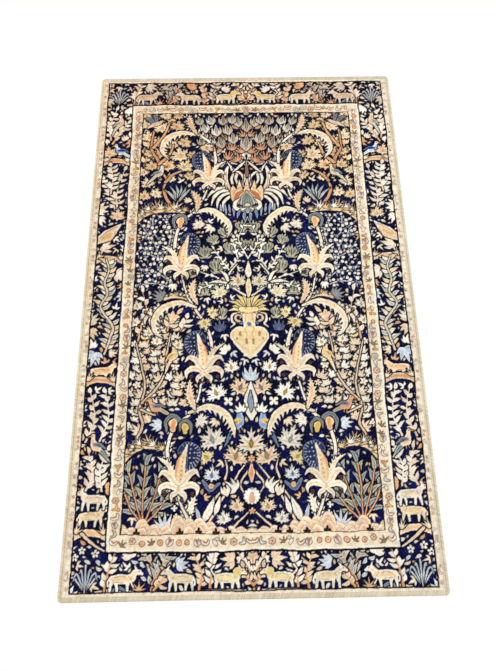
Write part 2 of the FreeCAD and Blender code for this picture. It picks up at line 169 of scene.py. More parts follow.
class Blob(Stroke):
    """Several strokes that make one shape, with one outline and one change of colour from rim to middle."""

    def __init__(self, parts):
        self.parts = parts
        self.colours = parts[0].colours
        self.lined = True
        self.height = 1.0

    def put(self, angle=0.0, scale=1.0, at=(0, 0), flip=False):
        """The same blob, with all its parts moved together."""
        for part in self.parts:
            part.put(angle, scale, at, flip)
        return self

    def bounds(self, margin):
        """The rectangle that holds all the parts and a margin round them."""
        corners = np.array([part.bounds(margin) for part in self.parts])
        return (*corners[:, :2].min(axis=0), *corners[:, 2:].max(axis=0))

    def distance(self, x, z):
        """How far each place is outside the nearest part."""
        return np.minimum.reduce([part.distance(x, z) for part in self.parts])


class Cartoon:
    """The drawing: a colour, a pile height and whether a motif lies there, for each small square."""

    def __init__(self):
        self.xs = np.arange(-CARTOON_HALF + CARTOON_STEP / 2, 0, CARTOON_STEP, np.float32)
        self.zs = np.arange(CARTOON_STEP / 2, HEIGHT, CARTOON_STEP, np.float32)
        self.colour = np.zeros((len(self.zs), len(self.xs), 3), np.float32)
        self.height = np.zeros(self.colour.shape[:2], np.float32)
        self.taken = np.zeros(self.colour.shape[:2], bool)
        self.clip = WHOLE_HALF
        self.random = np.random.default_rng(7)

    def window(self, bounds):
        """Slices of the rows and columns inside bounds and inside the part being worked on."""
        x0, z0 = np.maximum(bounds[:2], self.clip[:2])
        x1, z1 = np.minimum(bounds[2:], self.clip[2:])
        columns = slice(*np.searchsorted(self.xs, (x0, x1)))
        rows = slice(*np.searchsorted(self.zs, (z0, z1)))
        return rows, columns

    def rectangle(self, x0, z0, x1, z1, colour, height=0.0, taken=False):
        """Fills a rectangle with one colour."""
        window = self.window((x0, z0, x1, z1))
        self.colour[window] = colour
        self.height[window] = height
        self.taken[window] = taken

    def paint(self, strokes, line=LINE, ink=INK):
        """One dark line round all the strokes together, then each stroke in its own colours."""
        fields = []
        for stroke in strokes:
            window = self.window(stroke.bounds(line + CARTOON_STEP))
            rows, columns = window
            if rows.start >= rows.stop or columns.start >= columns.stop:
                continue
            distance = stroke.distance(self.xs[columns][None, :], self.zs[rows][:, None])
            fields.append((stroke, window, distance))
            if stroke.lined:
                self.lay(window, np.clip(0.5 - (distance - line) / CARTOON_STEP, 0, 1), ink, -0.6)
                self.taken[window] |= distance < line
        for stroke, window, distance in fields:
            rim, inside, depth = stroke.colours
            shade = 1 + self.random.normal(0, 0.035)
            blend = np.clip(-distance / depth, 0, 1)[..., None]
            colour = (rim + (inside - rim) * blend) * shade
            self.lay(window, np.clip(0.5 - distance / CARTOON_STEP, 0, 1), colour, stroke.height)

    def stroke(self, points, widths, colours, line=LINE, lined=True):
        """Paints one stroke by itself."""
        self.paint([Stroke(points, widths, colours, lined)], line)

    def scratch(self, points, width, colour):
        """Paints one thin line over what is there already, with no dark line round it."""
        self.paint([line(points, width, colour)], 0)

    def lay(self, window, cover, colour, height):
        """Lays a colour and a pile height over the window, as far as cover says."""
        self.colour[window] += cover[..., None] * (colour - self.colour[window])
        self.height[window] += cover * (height - self.height[window])

    def covered_share(self, strokes):
        """How much of the strokes' area has something drawn on it already."""
        area, covered = 1, 0
        for stroke in strokes:
            if stroke.lined:
                rows, columns = self.window(stroke.bounds(CARTOON_STEP))
                if rows.start < rows.stop and columns.start < columns.stop:
                    inside = stroke.distance(self.xs[columns][None, :], self.zs[rows][:, None]) < 0.6
                    area += inside.sum()
                    covered += (inside & self.taken[rows, columns]).sum()
        return covered / area

    def is_free(self, x, z, reach):
        """Whether nothing has been drawn within reach of a place that is being worked on."""
        if not (self.clip[0] + reach / 2 < x < self.clip[2] + reach / 2):
            return False
        if not (self.clip[1] + reach / 2 < z < self.clip[3] - reach / 2):
            return False
        window = self.window((x - reach, z - reach, x + reach, z + reach))
        return not self.taken[window].any()


# Motifs. Each returns strokes drawn about its own origin, pointing up, unless it takes places.


def moved(strokes, x, z, angle=0.0, scale=1.0, flip=False):
    """A motif put in its place."""
    return [stroke.put(angle, scale, (x, z), flip) for stroke in strokes]


def dot(x, z, width, colours, lined=True):
    """A round spot."""
    return Stroke([(x, z)], [width], colours, lined)


def line(points, width, colours, lined=False):
    """A thin line that lies low in the pile."""
    return Stroke(points, [width], colours, lined, height=0.5)


def leaf(points, width, colours, vein=None):
    """A pointed leaf along points, from its stalk to its tip."""
    widths = [width * share for share in (0.25, 0.8, 1, 0.8, 0.45, 0.1)]
    strokes = [Stroke(points, widths, colours)]
    if vein is not None:
        strokes.append(line(points, 0.9, vein))
    return strokes


def spray(length, count, width, colours, spread=60.0, heart=None):
    """Leaves that fan out of one point, the middle one longest."""
    strokes = []
    for angle in np.linspace(-spread, spread, count):
        reach = length * (1 - 0.3 * (abs(angle) / max(spread, 1)) ** 1.5)
        bend = 0.12 * reach * angle / max(spread, 1)
        strokes += leaf(turned([(0, 0), (bend, 0.5 * reach), (0, reach)], -angle), width, colours, heart)
    return strokes


def blossom(radius, colours, petals=5, heart=ORANGE, turn=0.0):
    """A round flower of separate petals."""
    strokes = []
    for i in range(petals):
        out = turned([(0, 0.25 * radius), (0, 0.72 * radius)], turn + 360 * i / petals)
        strokes.append(Stroke(out, [0.4 * radius, 2.1 * radius / petals**0.72], colours))
    strokes.append(dot(0, 0, 0.5 * radius, heart, lined=False))
    return strokes


def palmette(size, colours, heart=None, lobes=5):
    """A jagged flower head like a vine leaf, with veins and an oval heart. size is its height."""
    spread = 84
    base = (0, 0.2 * size)
    parts = [dot(0, 0.36 * size, 0.42 * size, colours)]
    veins = []
    for angle in np.linspace(-spread, spread, lobes):
        reach = size * (0.82 - 0.22 * abs(angle) / spread)
        for side in (-1, 1):
            for place, out in ((0.4, 0.22), (0.66, 0.15)):
                tooth = [(0, (place - 0.16) * reach), (side * out * size, (place + 0.12) * reach)]
                parts.append(Stroke(turned(tooth, -angle, at=base), [0.14 * size, 0.015 * size], colours))
        middle = turned([(0, 0), (0.03 * size, 0.5 * reach), (0, reach)], -angle, at=base)
        parts.append(Stroke(middle, [0.3 * size, 0.2 * size, 0.015 * size], colours))
        veins.append(line(middle, 0.022 * size, colours[1] * VEIN))
    parts.append(Stroke([(0, 0.3 * size), (0, 0)], [0.24 * size, 0.1 * size], colours))
    strokes = [Blob(parts)] + veins
    if heart is not None:
        rim, inside = (heart[0] * 0.5, heart[1]) if isinstance(heart, tuple) else (heart * 0.55, heart)
        outline = [(0, 0.2 * size), (0, 0.36 * size), (0, 0.56 * size)]
        widths = [0.07 * size, 0.19 * size, 0.03 * size]
        strokes.append(Stroke(outline, widths, (rim, inside, 0.06 * size), lined=False))
    return strokes


def tulip(size, colours, heart):
    """A small cup of three pointed petals."""
    strokes = []
    for side in (-1, 1):
        petal = [(0, 0), (side * 0.32 * size, 0.4 * size), (side * 0.3 * size, size)]
        strokes.append(Stroke(petal, [0.3 * size, 0.34 * size, 0.05 * size], colours))
    widths = [0.2 * size, 0.4 * size, 0.05 * size]
    strokes.append(Stroke([(0, 0), (0, 0.5 * size), (0, 0.9 * size)], widths, heart))
    return strokes


def thistle(width, height, colours=(dye(244, 234, 206), dye(150, 152, 136), 2.5), stripe=dye(66, 70, 70)):
    """A ribbed thistle head: a fan of narrow scales with pale edges, in a small cup."""
    strokes = []
    for angle in (-44, 44, -24, 24, 0):
        reach = height * (1 - 0.2 * abs(angle) / 44)
        scale = turned([(0, 0.06 * height), (0, 0.55 * height), (0, reach)], -angle * 0.62)
        scale = scale + np.array(((0, 0), (0.14 * width * angle / 44, 0), (0.03 * width * angle / 44, 0)))
        strokes.append(Stroke(scale, [0.2 * width, 0.38 * width, 0.04 * width], colours))
        strokes.append(line(scale[:2], 0.075 * width, stripe))
    for side in (-1, 1):
        sepal = [(0, 0.04 * height), (side * 0.34 * width, 0), (side * 0.56 * width, 0.16 * height)]
        strokes.append(Stroke(sepal, [0.16 * width, 0.16 * width, 0.03 * width], colours))
    return strokes


def serrated_leaf(points, width, colours, teeth, side=1, vein=None, sharp=0.55):
    """A long saz leaf with teeth along one side, or both with side 0."""
    spine = smooth(points, teeth + 2)
    parts = [Stroke(points, [width * share for share in (0.35, 0.8, 1, 0.9, 0.6, 0.12)], colours)]
    for sign in (-1, 1) if side == 0 else (side,):
        for i in range(1, teeth + 1):
            along = spine[min(i + 1, teeth + 1)] - spine[i - 1]
            along = along / np.hypot(*along)
            out = np.array((-along[1], along[0])) * sign
            belly = width * math.sin(math.pi * (0.12 + 0.8 * i / (teeth + 1)))
            start = spine[i] - along * belly * 0.2
            tip = spine[i] + out * belly * (0.5 + sharp) + along * belly * 0.42
            parts.append(Stroke([start, tip], [0.72 * belly, 0.05 * belly], colours))
    strokes = [Blob(parts)]
    if vein is not None:
        strokes.append(line(points, 1.2, vein))
    return strokes


def stem(points, width, colours=CREAMY):
    """A stem that grows thinner towards its end."""
    return [Stroke(points, [width, 0.8 * width, 0.5 * width], colours)]


def curl(x, z, radius, side, colours):
    """A scroll that turns in on itself."""
    angles = np.radians(np.linspace(-90, 230, 9))
    shrink = np.linspace(1, 0.3, 9)
    points = []
    for a, s in zip(angles, shrink):
        points.append((x + side * radius * s * math.cos(a), z + radius * s * math.sin(a)))
    return [Stroke(points, [0.5 * radius, 0.45 * radius, 0.25 * radius], colours, per_span=2)]


def paisley_hood():
    """The feathered hood that curls over a lily's spike from its left."""
    feather = (dye(146, 157, 180), dye(38, 46, 84), 2.8)
    pale = dye(196, 202, 206)
    comma = [(-12, 34), (-26, 52), (-36, 74), (-35, 94), (-20, 105), (-4, 100), (3, 88)]
    strokes = [Stroke(comma, [5, 19, 33, 38, 32, 15, 2], feather)]
    ring = smooth([(-20, 42), (-40, 56), (-52, 78), (-49, 102), (-30, 118), (-8, 112)], 15)
    for i, (x, z) in enumerate(ring):
        inward = np.array((-20 - x, 80 - z))
        inward = inward / np.hypot(*inward)
        reach = 9 if i % 2 else 6
        strokes.append(line([(x, z), (x + reach * inward[0], z + reach * inward[1] + 2)], 2, pale))
    for x, z in ((-29, 64), (-36, 76), (-38, 90), (-29, 101), (-15, 105), (-26, 78), (-27, 90), (-17, 94)):
        strokes.append(dot(x, z, 4.2, (dye(206, 206, 200), pale, 1), False))
    return strokes


def lily():
    """A lily: six curled petals, a tall spike, a hood and one saz leaf. Its petals meet at the origin."""
    cream = (WHITE, dye(248, 222, 180), 4)
    strokes = serrated_leaf([(8, 20), (18, 44), (30, 64), (56, 82)], 13, cream, 6, 1, sharp=0.5)
    strokes += paisley_hood()
    ivory = (WHITE, dye(248, 228, 192), 4.5)
    for x, z, size in ((38, 25, 9), (35, -10, 9), (10, -24, 7)):
        for side in (1, -1):
            strokes.append(dot(side * x, z, size, (dye(150, 104, 96), dye(60, 34, 40), 2.5)))
    spike, blush = (CREAM, dye(247, 214, 166), 6), (PEACH, dye(226, 156, 114), 3)
    strokes.append(Stroke([(0, 6), (-2, 36), (-6, 66), (-20, 112)], [15, 27, 22, 3], spike))
    strokes.append(Stroke([(5, 14), (7, 40), (3, 68), (-8, 92)], [3, 6, 6, 2], blush, lined=False))
    for i in range(6):
        strokes.append(dot(-4 - 1.1 * i, 24 + 11 * i, 3.4, dye(150, 104, 76), lined=False))
    petals = (
        [(3, 2), (13, 18), (25, 36), (41, 43), (52, 30)],
        [(3, 0), (16, 8), (33, 11), (47, 2), (46, -15)],
        [(2, -3), (8, -8), (17, -15), (17, -29)],
    )
    for points, width in zip(petals, (16, 15, 12)):
        for side in (1, -1):
            bent = [(side * x, z) for x, z in points]
            strokes.append(Stroke(bent, [width * share for share in (0.7, 1, 1.05, 0.75, 0.1)], ivory))
            strokes.append(line(bent[:4], 1.3, dye(218, 176, 132)))
    strokes.append(dot(0, 1, 12, (CREAM, PEACH, 4), lined=False))
    strokes.append(Stroke([(-8, 12), (0, 7), (8, 12)], [1.6], dye(150, 100, 76), lined=False))
    return strokes


def bird(body, wing, tail, beak=GOLD):
    """A standing bird that looks right, about 40 wide. The origin is its breast."""
    strokes = [Stroke([(-4, -2), (-22, -14), (-40, -30)], [9, 8, 2], tail)]
    strokes.append(line([(2, -8), (3, -17)], 1.6, GOLD))
    strokes.append(line([(-3, -8), (-4, -17)], 1.6, GOLD))
    strokes.append(Stroke([(-8, -4), (2, 0), (9, 12), (11, 20)], [12, 19, 10, 8], body))
    strokes.append(dot(12, 21, 10, body))
    strokes.append(Stroke([(16, 21), (24, 18)], [3, 0.8], beak))
    strokes.append(Stroke([(4, 4), (-8, 4), (-24, -2)], [9, 11, 2], wing))
    strokes.append(line([(0, 3), (-18, -1)], 1, INK))
    strokes.append(dot(13, 22, 2.2, INK, lined=False))
    return strokes


def flying_bird(body, wing):
    """A bird on the wing, about 60 wide."""
    strokes = leaf([(-6, 2), (-18, 22), (-34, 30)], 15, wing, SLATE)
    strokes += leaf([(2, 4), (2, 26), (-8, 40)], 13, wing, SLATE)
    strokes.append(Stroke([(-30, -10), (-10, -2), (10, 2), (20, 8)], [4, 13, 13, 8], body))
    strokes.append(Stroke([(24, 9), (31, 6)], [4, 0.8], GOLD))
    strokes.append(dot(20, 10, 2.2, INK, lined=False))
    return strokes


def duck(body, wing):
    """A small outlined swimming duck for the guard band, about 24 wide."""
    strokes = [Stroke([(-11, 3), (-4, -2), (5, -2), (9, 4), (8, 8)], [2, 8, 8, 4, 4], body)]
    strokes.append(Stroke([(-4, 0), (4, 1)], [2, 4], wing, lined=False))
    strokes.append(Stroke([(10, 8), (13, 7)], [2, 0.6], RUST, lined=False))
    return strokes


def beast(coat, horns=None, mane=None, tail_up=False):
    """A grazing animal seen from its left side, standing on the origin."""
    back = [(-24, 26), (-8, 27), (10, 27), (22, 30)]
    parts = [Stroke(back, [19, 22, 21, 18], coat), Stroke([(20, 31), (29, 41), (37, 42)], [17, 14, 12], coat)]
    for x, bend in ((-25, -3), (-16, 2), (13, -2), (22, 3)):
        parts.append(Stroke([(x, 24), (x + bend, 12), (x + 1.5 * bend, 0)], [11, 7, 5], coat))
    parts.append(Stroke([(37, 42), (45, 38)], [11, 6], coat))
    strokes = [Blob(parts)]
    for tail in ([(-31, 32), (-40, 44), (-33, 54)] if tail_up else [(-31, 30), (-36, 20), (-34, 12)],):
        strokes.append(Stroke(tail, [4, 4, 5], coat))
    strokes.append(Stroke([(31, 47), (27, 56)], [6, 2], coat))
    if horns is not None:
        strokes.append(Stroke([(34, 48), (31, 59), (40, 66)], [4, 3, 1.5], (horns, horns, 1)))
    if mane is not None:
        strokes.append(dot(24, 40, 21, mane))
    strokes.append(dot(37, 44, 2.8, MAROON, False))
    marks = (
        [(-20, 30), (-6, 33), (8, 31)],
        [(-18, 20), (0, 19)],
        [(14, 34), (20, 26)],
        [(-24, 24), (-20, 15)],
    )
    for points in marks:
        strokes.append(line(points, 1.6, coat[1] * VEIN))
    return strokes


def palm_tuft(width, height, colours, fronds=7):
    """Long fronds that rise from one foot and arch over to both sides, the outermost first."""
    strokes = []
    for lean in sorted(np.linspace(-1, 1, fronds), key=lambda lean: -abs(lean)):
        low, high = 1 - 0.3 * abs(lean), 1 - 0.4 * abs(lean)
        outline = ((0, 0), (0.5, 0.62 * low), (0.88, 0.95 * high), (1.12, 1 - 0.85 * abs(lean)))
        points = [(lean * width * out, height * up) for out, up in outline]
        strokes.append(Stroke(points, [1.6, 3.8, 3.8, 1], colours))
    return strokes


def grass_tuft(size, colours, blades=7):
    """Short spiky blades."""
    strokes = []
    for angle in np.linspace(-75, 75, blades):
        blade = turned([(0, 0), (0, size * (1 - abs(angle) / 260))], -angle)
        strokes.append(Stroke(blade, [0.2 * size, 0.6], colours))
    return strokes


def leafy_branch(points, width, colours, leaves, leaf_length, leaf_colours, leaf_width=None, vein=None):
    """A branch with leaves in uneven pairs along it and one at its tip."""
    leaf_width = leaf_width or 0.42 * leaf_length
    spine = smooth(points, leaves + 2)
    strokes = []
    for i in range(1, leaves + 2):
        along = spine[min(i + 1, leaves + 1)] - spine[i - 1]
        heading = math.degrees(math.atan2(along[1], along[0])) - 90
        sides = (0,) if i == leaves + 1 else (-1, 1)
        for side in sides:
            wander = math.sin(12.9 * spine[i][0] + 7.3 * spine[i][1] + 2.1 * side)
            reach = leaf_length * (1 - 0.25 * i / (leaves + 1)) * (1 + 0.22 * wander)
            start = spine[i] + along * 0.12 * wander
            blade = [(0, 0), (0.16 * wander * reach, 0.5 * reach), (0, reach)]
            blade = turned(blade, heading + side * (50 + 14 * wander), at=start)
            strokes += leaf(blade, leaf_width * (1 - 0.15 * wander), leaf_colours, vein)
    strokes.append(Stroke(points, [width, 0.7 * width, 0.4 * width], colours))
    return strokes


def bud(width, height, colours, stripe):
    """A closed pointed bud between two narrow sepals."""
    strokes = []
    for side in (-1, 1):
        sepal = [(0, 0), (side * 0.42 * width, 0.3 * height), (side * 0.46 * width, 0.78 * height)]
        strokes.append(Stroke(sepal, [0.2 * width, 0.3 * width, 0.02 * width], colours))
    body = [(0, 0.04 * height), (0, 0.45 * height), (0, height)]
    strokes.append(Stroke(body, [0.3 * width, 0.62 * width, 0.03 * width], colours))
    for side in (-0.1, 0.1):
        rib = [(side * width, 0.2 * height), (1.2 * side * width, 0.5 * height), (0, 0.85 * height)]
        strokes.append(line(rib, 0.06 * width, stripe))
    return strokes


def random_dyeing(random):
    """One of the dyeings that the small leaves between the motifs are woven in."""
    straw = (CREAM, dye(238, 206, 158), 5)
    sand = (WHITE, dye(250, 228, 192), 4)
    ashen = (CREAM, dye(216, 210, 190), 4)
    choices = (CREAMY, CREAMY, CREAMY, sand, sand, PEACHY, straw, ashen, FROST, GINGER)
    return choices[int(random.integers(len(choices)))]


def small_spray(length, count):
    """A maker of small sprays for fill_gaps."""

    def make(random):
        """One such motif in fresh wool."""
        colours = random_dyeing(random)
        size = length * random.uniform(0.85, 1.2)
        return moved(spray(size, count, 0.34 * size, colours, random.uniform(48, 74)), 0, -0.45 * size)

    return make


def small_palmette(size):
    """A maker of small palmettes for fill_gaps."""

    def make(random):
        """One such motif in fresh wool."""
        return moved(palmette(size, random_dyeing(random)), 0, -0.45 * size)

    return make


def small_leaf(length):
    """A maker of small single leaves for fill_gaps."""

    def make(random):
        """One such motif in fresh wool."""
        bend = random.uniform(-0.2, 0.2) * length
        colours = random_dyeing(random)
        blade = [(0, -0.5 * length), (bend, 0), (0, 0.5 * length)]
        return leaf(blade, 0.5 * length, colours, colours[1] * VEIN)

    return make


# The parts of the picture, each painted in its place.


def frame_rectangle(side, end):
    """The left half of a rectangle that is set in from the hanging's edge."""
    return (-HALF_WIDTH + side, end, 0, HEIGHT - end)


def put(cartoon, strokes, x, z, angle=0.0, scale=1.0, flip=False):
    """Paints a motif in its place."""
    cartoon.paint(moved(strokes, x, z, angle, scale, flip))


def fill_gaps(cartoon, region, motifs, tries, overlap=0.025):
    """Scatters small motifs over what is still empty, largest first, where they hardly touch anything."""
    random = cartoon.random
    for reach, make in motifs:
        for _ in range(tries):
            x = random.uniform(region[0], region[2] + reach / 3)
            z = random.uniform(region[1], region[3])
            turn = random.uniform(0, 360)
            if cartoon.is_free(x, z, 0.26 * reach):
                strokes = moved(make(random), x, z, turn)
                if cartoon.covered_share(strokes) < overlap:
                    cartoon.paint(strokes, line=FILL_LINE)


def fill_field(cartoon):
    """Leaves, sprays and small flowers in the gaps of the field, big ones first."""
    rows = (
        (24, small_palmette(36), 900),
        (17, small_spray(30, 5), 1800),
        (12, small_spray(23, 5), 2400),
        (9, small_spray(17, 3), 2400),
        (6, small_leaf(14), 2600),
        (4, small_leaf(10), 2200),
    )
    for reach, make, tries in rows:
        fill_gaps(cartoon, FIELD, [(reach, make)], tries)


def draw_stems(cartoon):
    """The long pale stems that wind up the field from lily to lily, with small leaves along them."""
    winding = (
        [(-144, 152), (-164, 194), (-186, 246)],
        [(-206, 300), (-212, 352), (-196, 406), (-158, 438), (-138, 484), (-122, 546)],
        [(-100, 576), (-104, 640), (-126, 692), (-150, 732), (-174, 776), (-190, 842)],
        [(-210, 900), (-208, 950), (-192, 998), (-158, 1032), (-130, 1080), (-115, 1130)],
        [(-94, 1176), (-96, 1236), (-114, 1278), (-144, 1306), (-174, 1340), (-184, 1384)],
    )
    for points in winding:
        twigs = leafy_branch(points, 5, (WHITE, dye(246, 214, 186), 3), 2 * len(points), 17, IVORY, 7)
        cartoon.paint(twigs)
        cartoon.paint(stem(points, 8.5, (WHITE, dye(248, 226, 198), 3)))


def draw_hills(cartoon):
    """The rows of rounded hills along the foot of the field."""
    peaks = (
        (-316, 166), (-292, 160), (-266, 180), (-238, 168), (-208, 166), (-180, 188), (-152, 180),
        (-126, 180), (-100, 172), (-76, 160), (-50, 160), (-26, 158), (0, 154),
    )
    for lift, size in ((0, 30), (-9, 30), (-19, 28)):
        for x, peak in peaks:
            place = x + (7 if lift == -9 else 0)
            top = max(peak + lift, 152)
            hill = [(place - 7, top - 34), (place - 3, top - 14), (place, top)]
            strokes = [Stroke(hill, [size, size, 5], (CREAM, PEACH, 9))]
            strokes.append(line([(place - 9, top - 22), (place - 1, top - 7)], 1.6, ORANGE))
            strokes.append(line([(place - 1, top - 24), (place + 4, top - 9)], 1.3, PEACH * 0.93))
            cartoon.paint(strokes, line=0.9, ink=ORANGE * 0.8)
    for x in (-282, -178, -131, -88, -60):
        put(cartoon, grass_tuft(9, (MAROON, MAROON, 1), 3), x, 148)


def draw_shrub(cartoon):
    """The long-leaved bush in the field's bottom corner."""
    branches = (
        ([(-270, 172), (-298, 204), (-314, 240)], 2),
        ([(-262, 172), (-236, 196), (-214, 226)], 2),
        ([(-270, 172), (-290, 230), (-306, 290)], 3),
        ([(-264, 172), (-244, 226), (-228, 282)], 3),
        ([(-268, 172), (-270, 240), (-264, 308)], 4),
    )
    olive = (dye(244, 236, 206), dye(158, 158, 134), 3)
    slate = (dye(230, 230, 216), dye(138, 146, 146), 3)
    for i, (points, pairs) in enumerate(branches):
        spine = smooth(points, pairs + 2)
        for j in range(1, pairs + 2):
            along = spine[j] - spine[j - 1]
            heading = math.degrees(math.atan2(along[1], along[0])) - 90
            for side in (1, -1):
                blade = [(0, 0), (4 * side, 20), (0, 44 - 2 * j)]
                blade = leaf(blade, 11.5, (olive, slate)[(i + j) % 2], dye(92, 100, 96))
                put(cartoon, blade, *spine[j], heading + side * (40 - 4 * j))
    for points, _ in branches:
        cartoon.paint([line(points, 3.6, dye(238, 172, 126), lined=True)], line=1.2)
    put(cartoon, spray(40, 7, 8, FROST, 78), -214, 160)
    for x, z in ((-190, 208), (-186, 188), (-192, 172)):
        put(cartoon, blossom(7, CREAMY, 4, CREAM), x, z)


def draw_lower_axis(cartoon):
    """The crossing stems and flowers on the centre line, above the hills."""
    for points in (
        [(-110, 164), (-76, 222), (-38, 282), (-14, 312)],
        [(-56, 150), (-26, 178), (2, 204)],
        [(-136, 168), (-100, 214), (-62, 262), (-34, 270)],
        [(-70, 262), (-62, 300), (-72, 336)],
        [(-4, 300), (-30, 262), (-14, 232)],
    ):
        cartoon.paint(stem(points, 5, (CREAM, PINK, 3)))
    put(cartoon, serrated_leaf([(0, 0), (4, 30), (14, 58)], 15, CREAMY, 5, 0, PEACH), -154, 178)
    put(cartoon, leaf([(0, 0), (12, 24), (24, 54)], 19, CREAMY, GREY), -118, 176)
    put(cartoon, leaf([(0, 0), (6, 20), (14, 42)], 13, CREAMY, PEACH), -92, 190)
    put(cartoon, leaf([(0, 0), (-2, 18), (-8, 38)], 10, FROST, BLUE), -130, 174)
    put(cartoon, palmette(34, CREAMY, GREY), -68, 168, 10)
    put(cartoon, palmette(36, PEACHY, ORANGE), -40, 196, -10)
    put(cartoon, spray(34, 5, 9, CREAMY, 60), -40, 250, 56)
    put(cartoon, tulip(24, CREAMY, FLAME), -62, 236, 20)
    put(cartoon, blossom(24, (WHITE, CREAM, 6), 14, (CREAM, dye(222, 180, 130), 6)), 0, 232)
    heart = Stroke([(0, 222), (0, 236)], [15, 11], (dye(150, 100, 84), PINK, 2), False)
    cartoon.paint([heart, dot(0, 250, 8, (SKY, BLUE, 3), False)])
    put(cartoon, blossom(8, GINGER, 5, RUST), 0, 196)
    cartoon.stroke([(0, 268), (0, 290), (0, 314)], [6, 17, 3], (WHITE, dye(222, 140, 100), 4))
    put(cartoon, palmette(38, FROST, dye(150, 130, 84)), -100, 270)
    cup = Stroke([(-122, 270), (-104, 250), (-80, 264)], [7, 14, 5], (dye(150, 170, 196), SLATE, 4))
    cartoon.paint([cup, dot(-101, 258, 13, GINGER)])


def draw_centre_flowers(cartoon):
    """The flower heads round the centre line, up to the vase, and the birds between them."""
    put(cartoon, palmette(40, HONEY, GOLD), -104, 318, 50)
    put(cartoon, palmette(58, PEACHY, dye(150, 148, 120)), -43, 310, -14)
    put(cartoon, palmette(62, CREAMY, dye(150, 160, 160)), -92, 350, 20)
    put(cartoon, palmette(52, CREAMY, dye(200, 160, 110)), -82, 476, 26)
    put(cartoon, palmette(52, PEACHY, dye(140, 150, 160)), -34, 490, -24)
    put(cartoon, palmette(40, CREAMY, ORANGE), -48, 548, 10)
    put(cartoon, blossom(12, CREAMY, 4, CREAM), -58, 470, 45)
    put(cartoon, palmette(66, (WHITE, dye(248, 216, 164), 8), dye(150, 130, 84)), 0, 336)
    put(cartoon, blossom(9, GINGER, 6, RUST), 0, 322)
    cartoon.paint(leaf([(0, 424), (-3, 470), (0, 522)], 32, CREAMY))
    cartoon.paint(leaf([(0, 444), (-1, 470), (0, 498)], 11, (SKY, dye(140, 164, 184), 3)))
    put(cartoon, spray(44, 5, 11, FROST, 46), 0, 526)
    put(cartoon, bird((SKY, BLUE, 5), AMBER, (BLUE, SLATE, 4)), -34, 412, 24, 1.35)
    put(cartoon, spray(24, 5, 8, CREAMY, 70), -26, 444, 10)


def draw_arch_bud(cartoon, x, z, scale, flip, inside):
    """A drooping bud under a grey hood, where a saz leaf springs."""
    strokes = [dot(0, 0, 20, inside), Stroke([(2, 4), (0, -13)], [16, 12], inside)]
    strokes.append(Stroke([(-14, -18), (-17, 4), (-4, 19), (13, 12), (16, -8)], [4, 9, 9, 9, 3], DUSK))
    put(cartoon, strokes, x, z, 0, scale, flip)


def draw_lilies(cartoon):
    """Four lilies, the long leaves that spring from their stems and the buds between."""
    arching = (
        [(-160, 442), (-112, 457), (-70, 440), (-48, 405), (-42, 376)],
        [(-148, 735), (-192, 748), (-234, 733), (-260, 698), (-254, 664), (-236, 646)],
        [(-158, 1030), (-110, 1040), (-72, 1016), (-50, 982), (-58, 948)],
        [(-146, 1303), (-200, 1312), (-244, 1290), (-257, 1250), (-236, 1216)],
    )
    long_wool, short_wool = (WHITE, dye(249, 226, 186), 5), (CREAM, dye(242, 202, 164), 4)
    for points, side in zip(arching, (-1, 1, -1, 1)):
        cartoon.paint(serrated_leaf(points, 18, long_wool, 10, side, dye(226, 180, 130), sharp=0.62))
    upright = (
        [(-146, 450), (-160, 490), (-158, 530)],
        [(-144, 745), (-160, 784), (-150, 818)],
        [(-150, 1036), (-146, 1076), (-166, 1108)],
        [(-152, 1306), (-172, 1346), (-174, 1382)],
    )
    for points in upright:
        cartoon.paint(serrated_leaf(points, 15, short_wool, 7, 0, dye(220, 158, 104), sharp=0.4))
    draw_arch_bud(cartoon, -200, 414, 1.1, False, (CREAM, dye(226, 160, 100), 4))
    draw_arch_bud(cartoon, -168, 404, 0.9, True, AMBER)
    draw_arch_bud(cartoon, -196, 1002, 1.1, False, (CREAM, dye(226, 160, 100), 4))
    put(cartoon, palmette(38, HONEY, GOLD), -128, 700, 200)
    put(cartoon, palmette(34, HONEY, GOLD), -112, 712, -60)
    put(cartoon, palmette(40, PEACHY, GOLD), -124, 1270, 190)
    lilies = (
        (-182, 250, 0.98, True),
        (-122, 548, 0.98, False),
        (-190, 845, 0.98, True),
        (-115, 1134, 0.92, False),
    )
    for x, z, scale, flip in lilies:
        put(cartoon, lily(), x, z, 0, scale, flip)


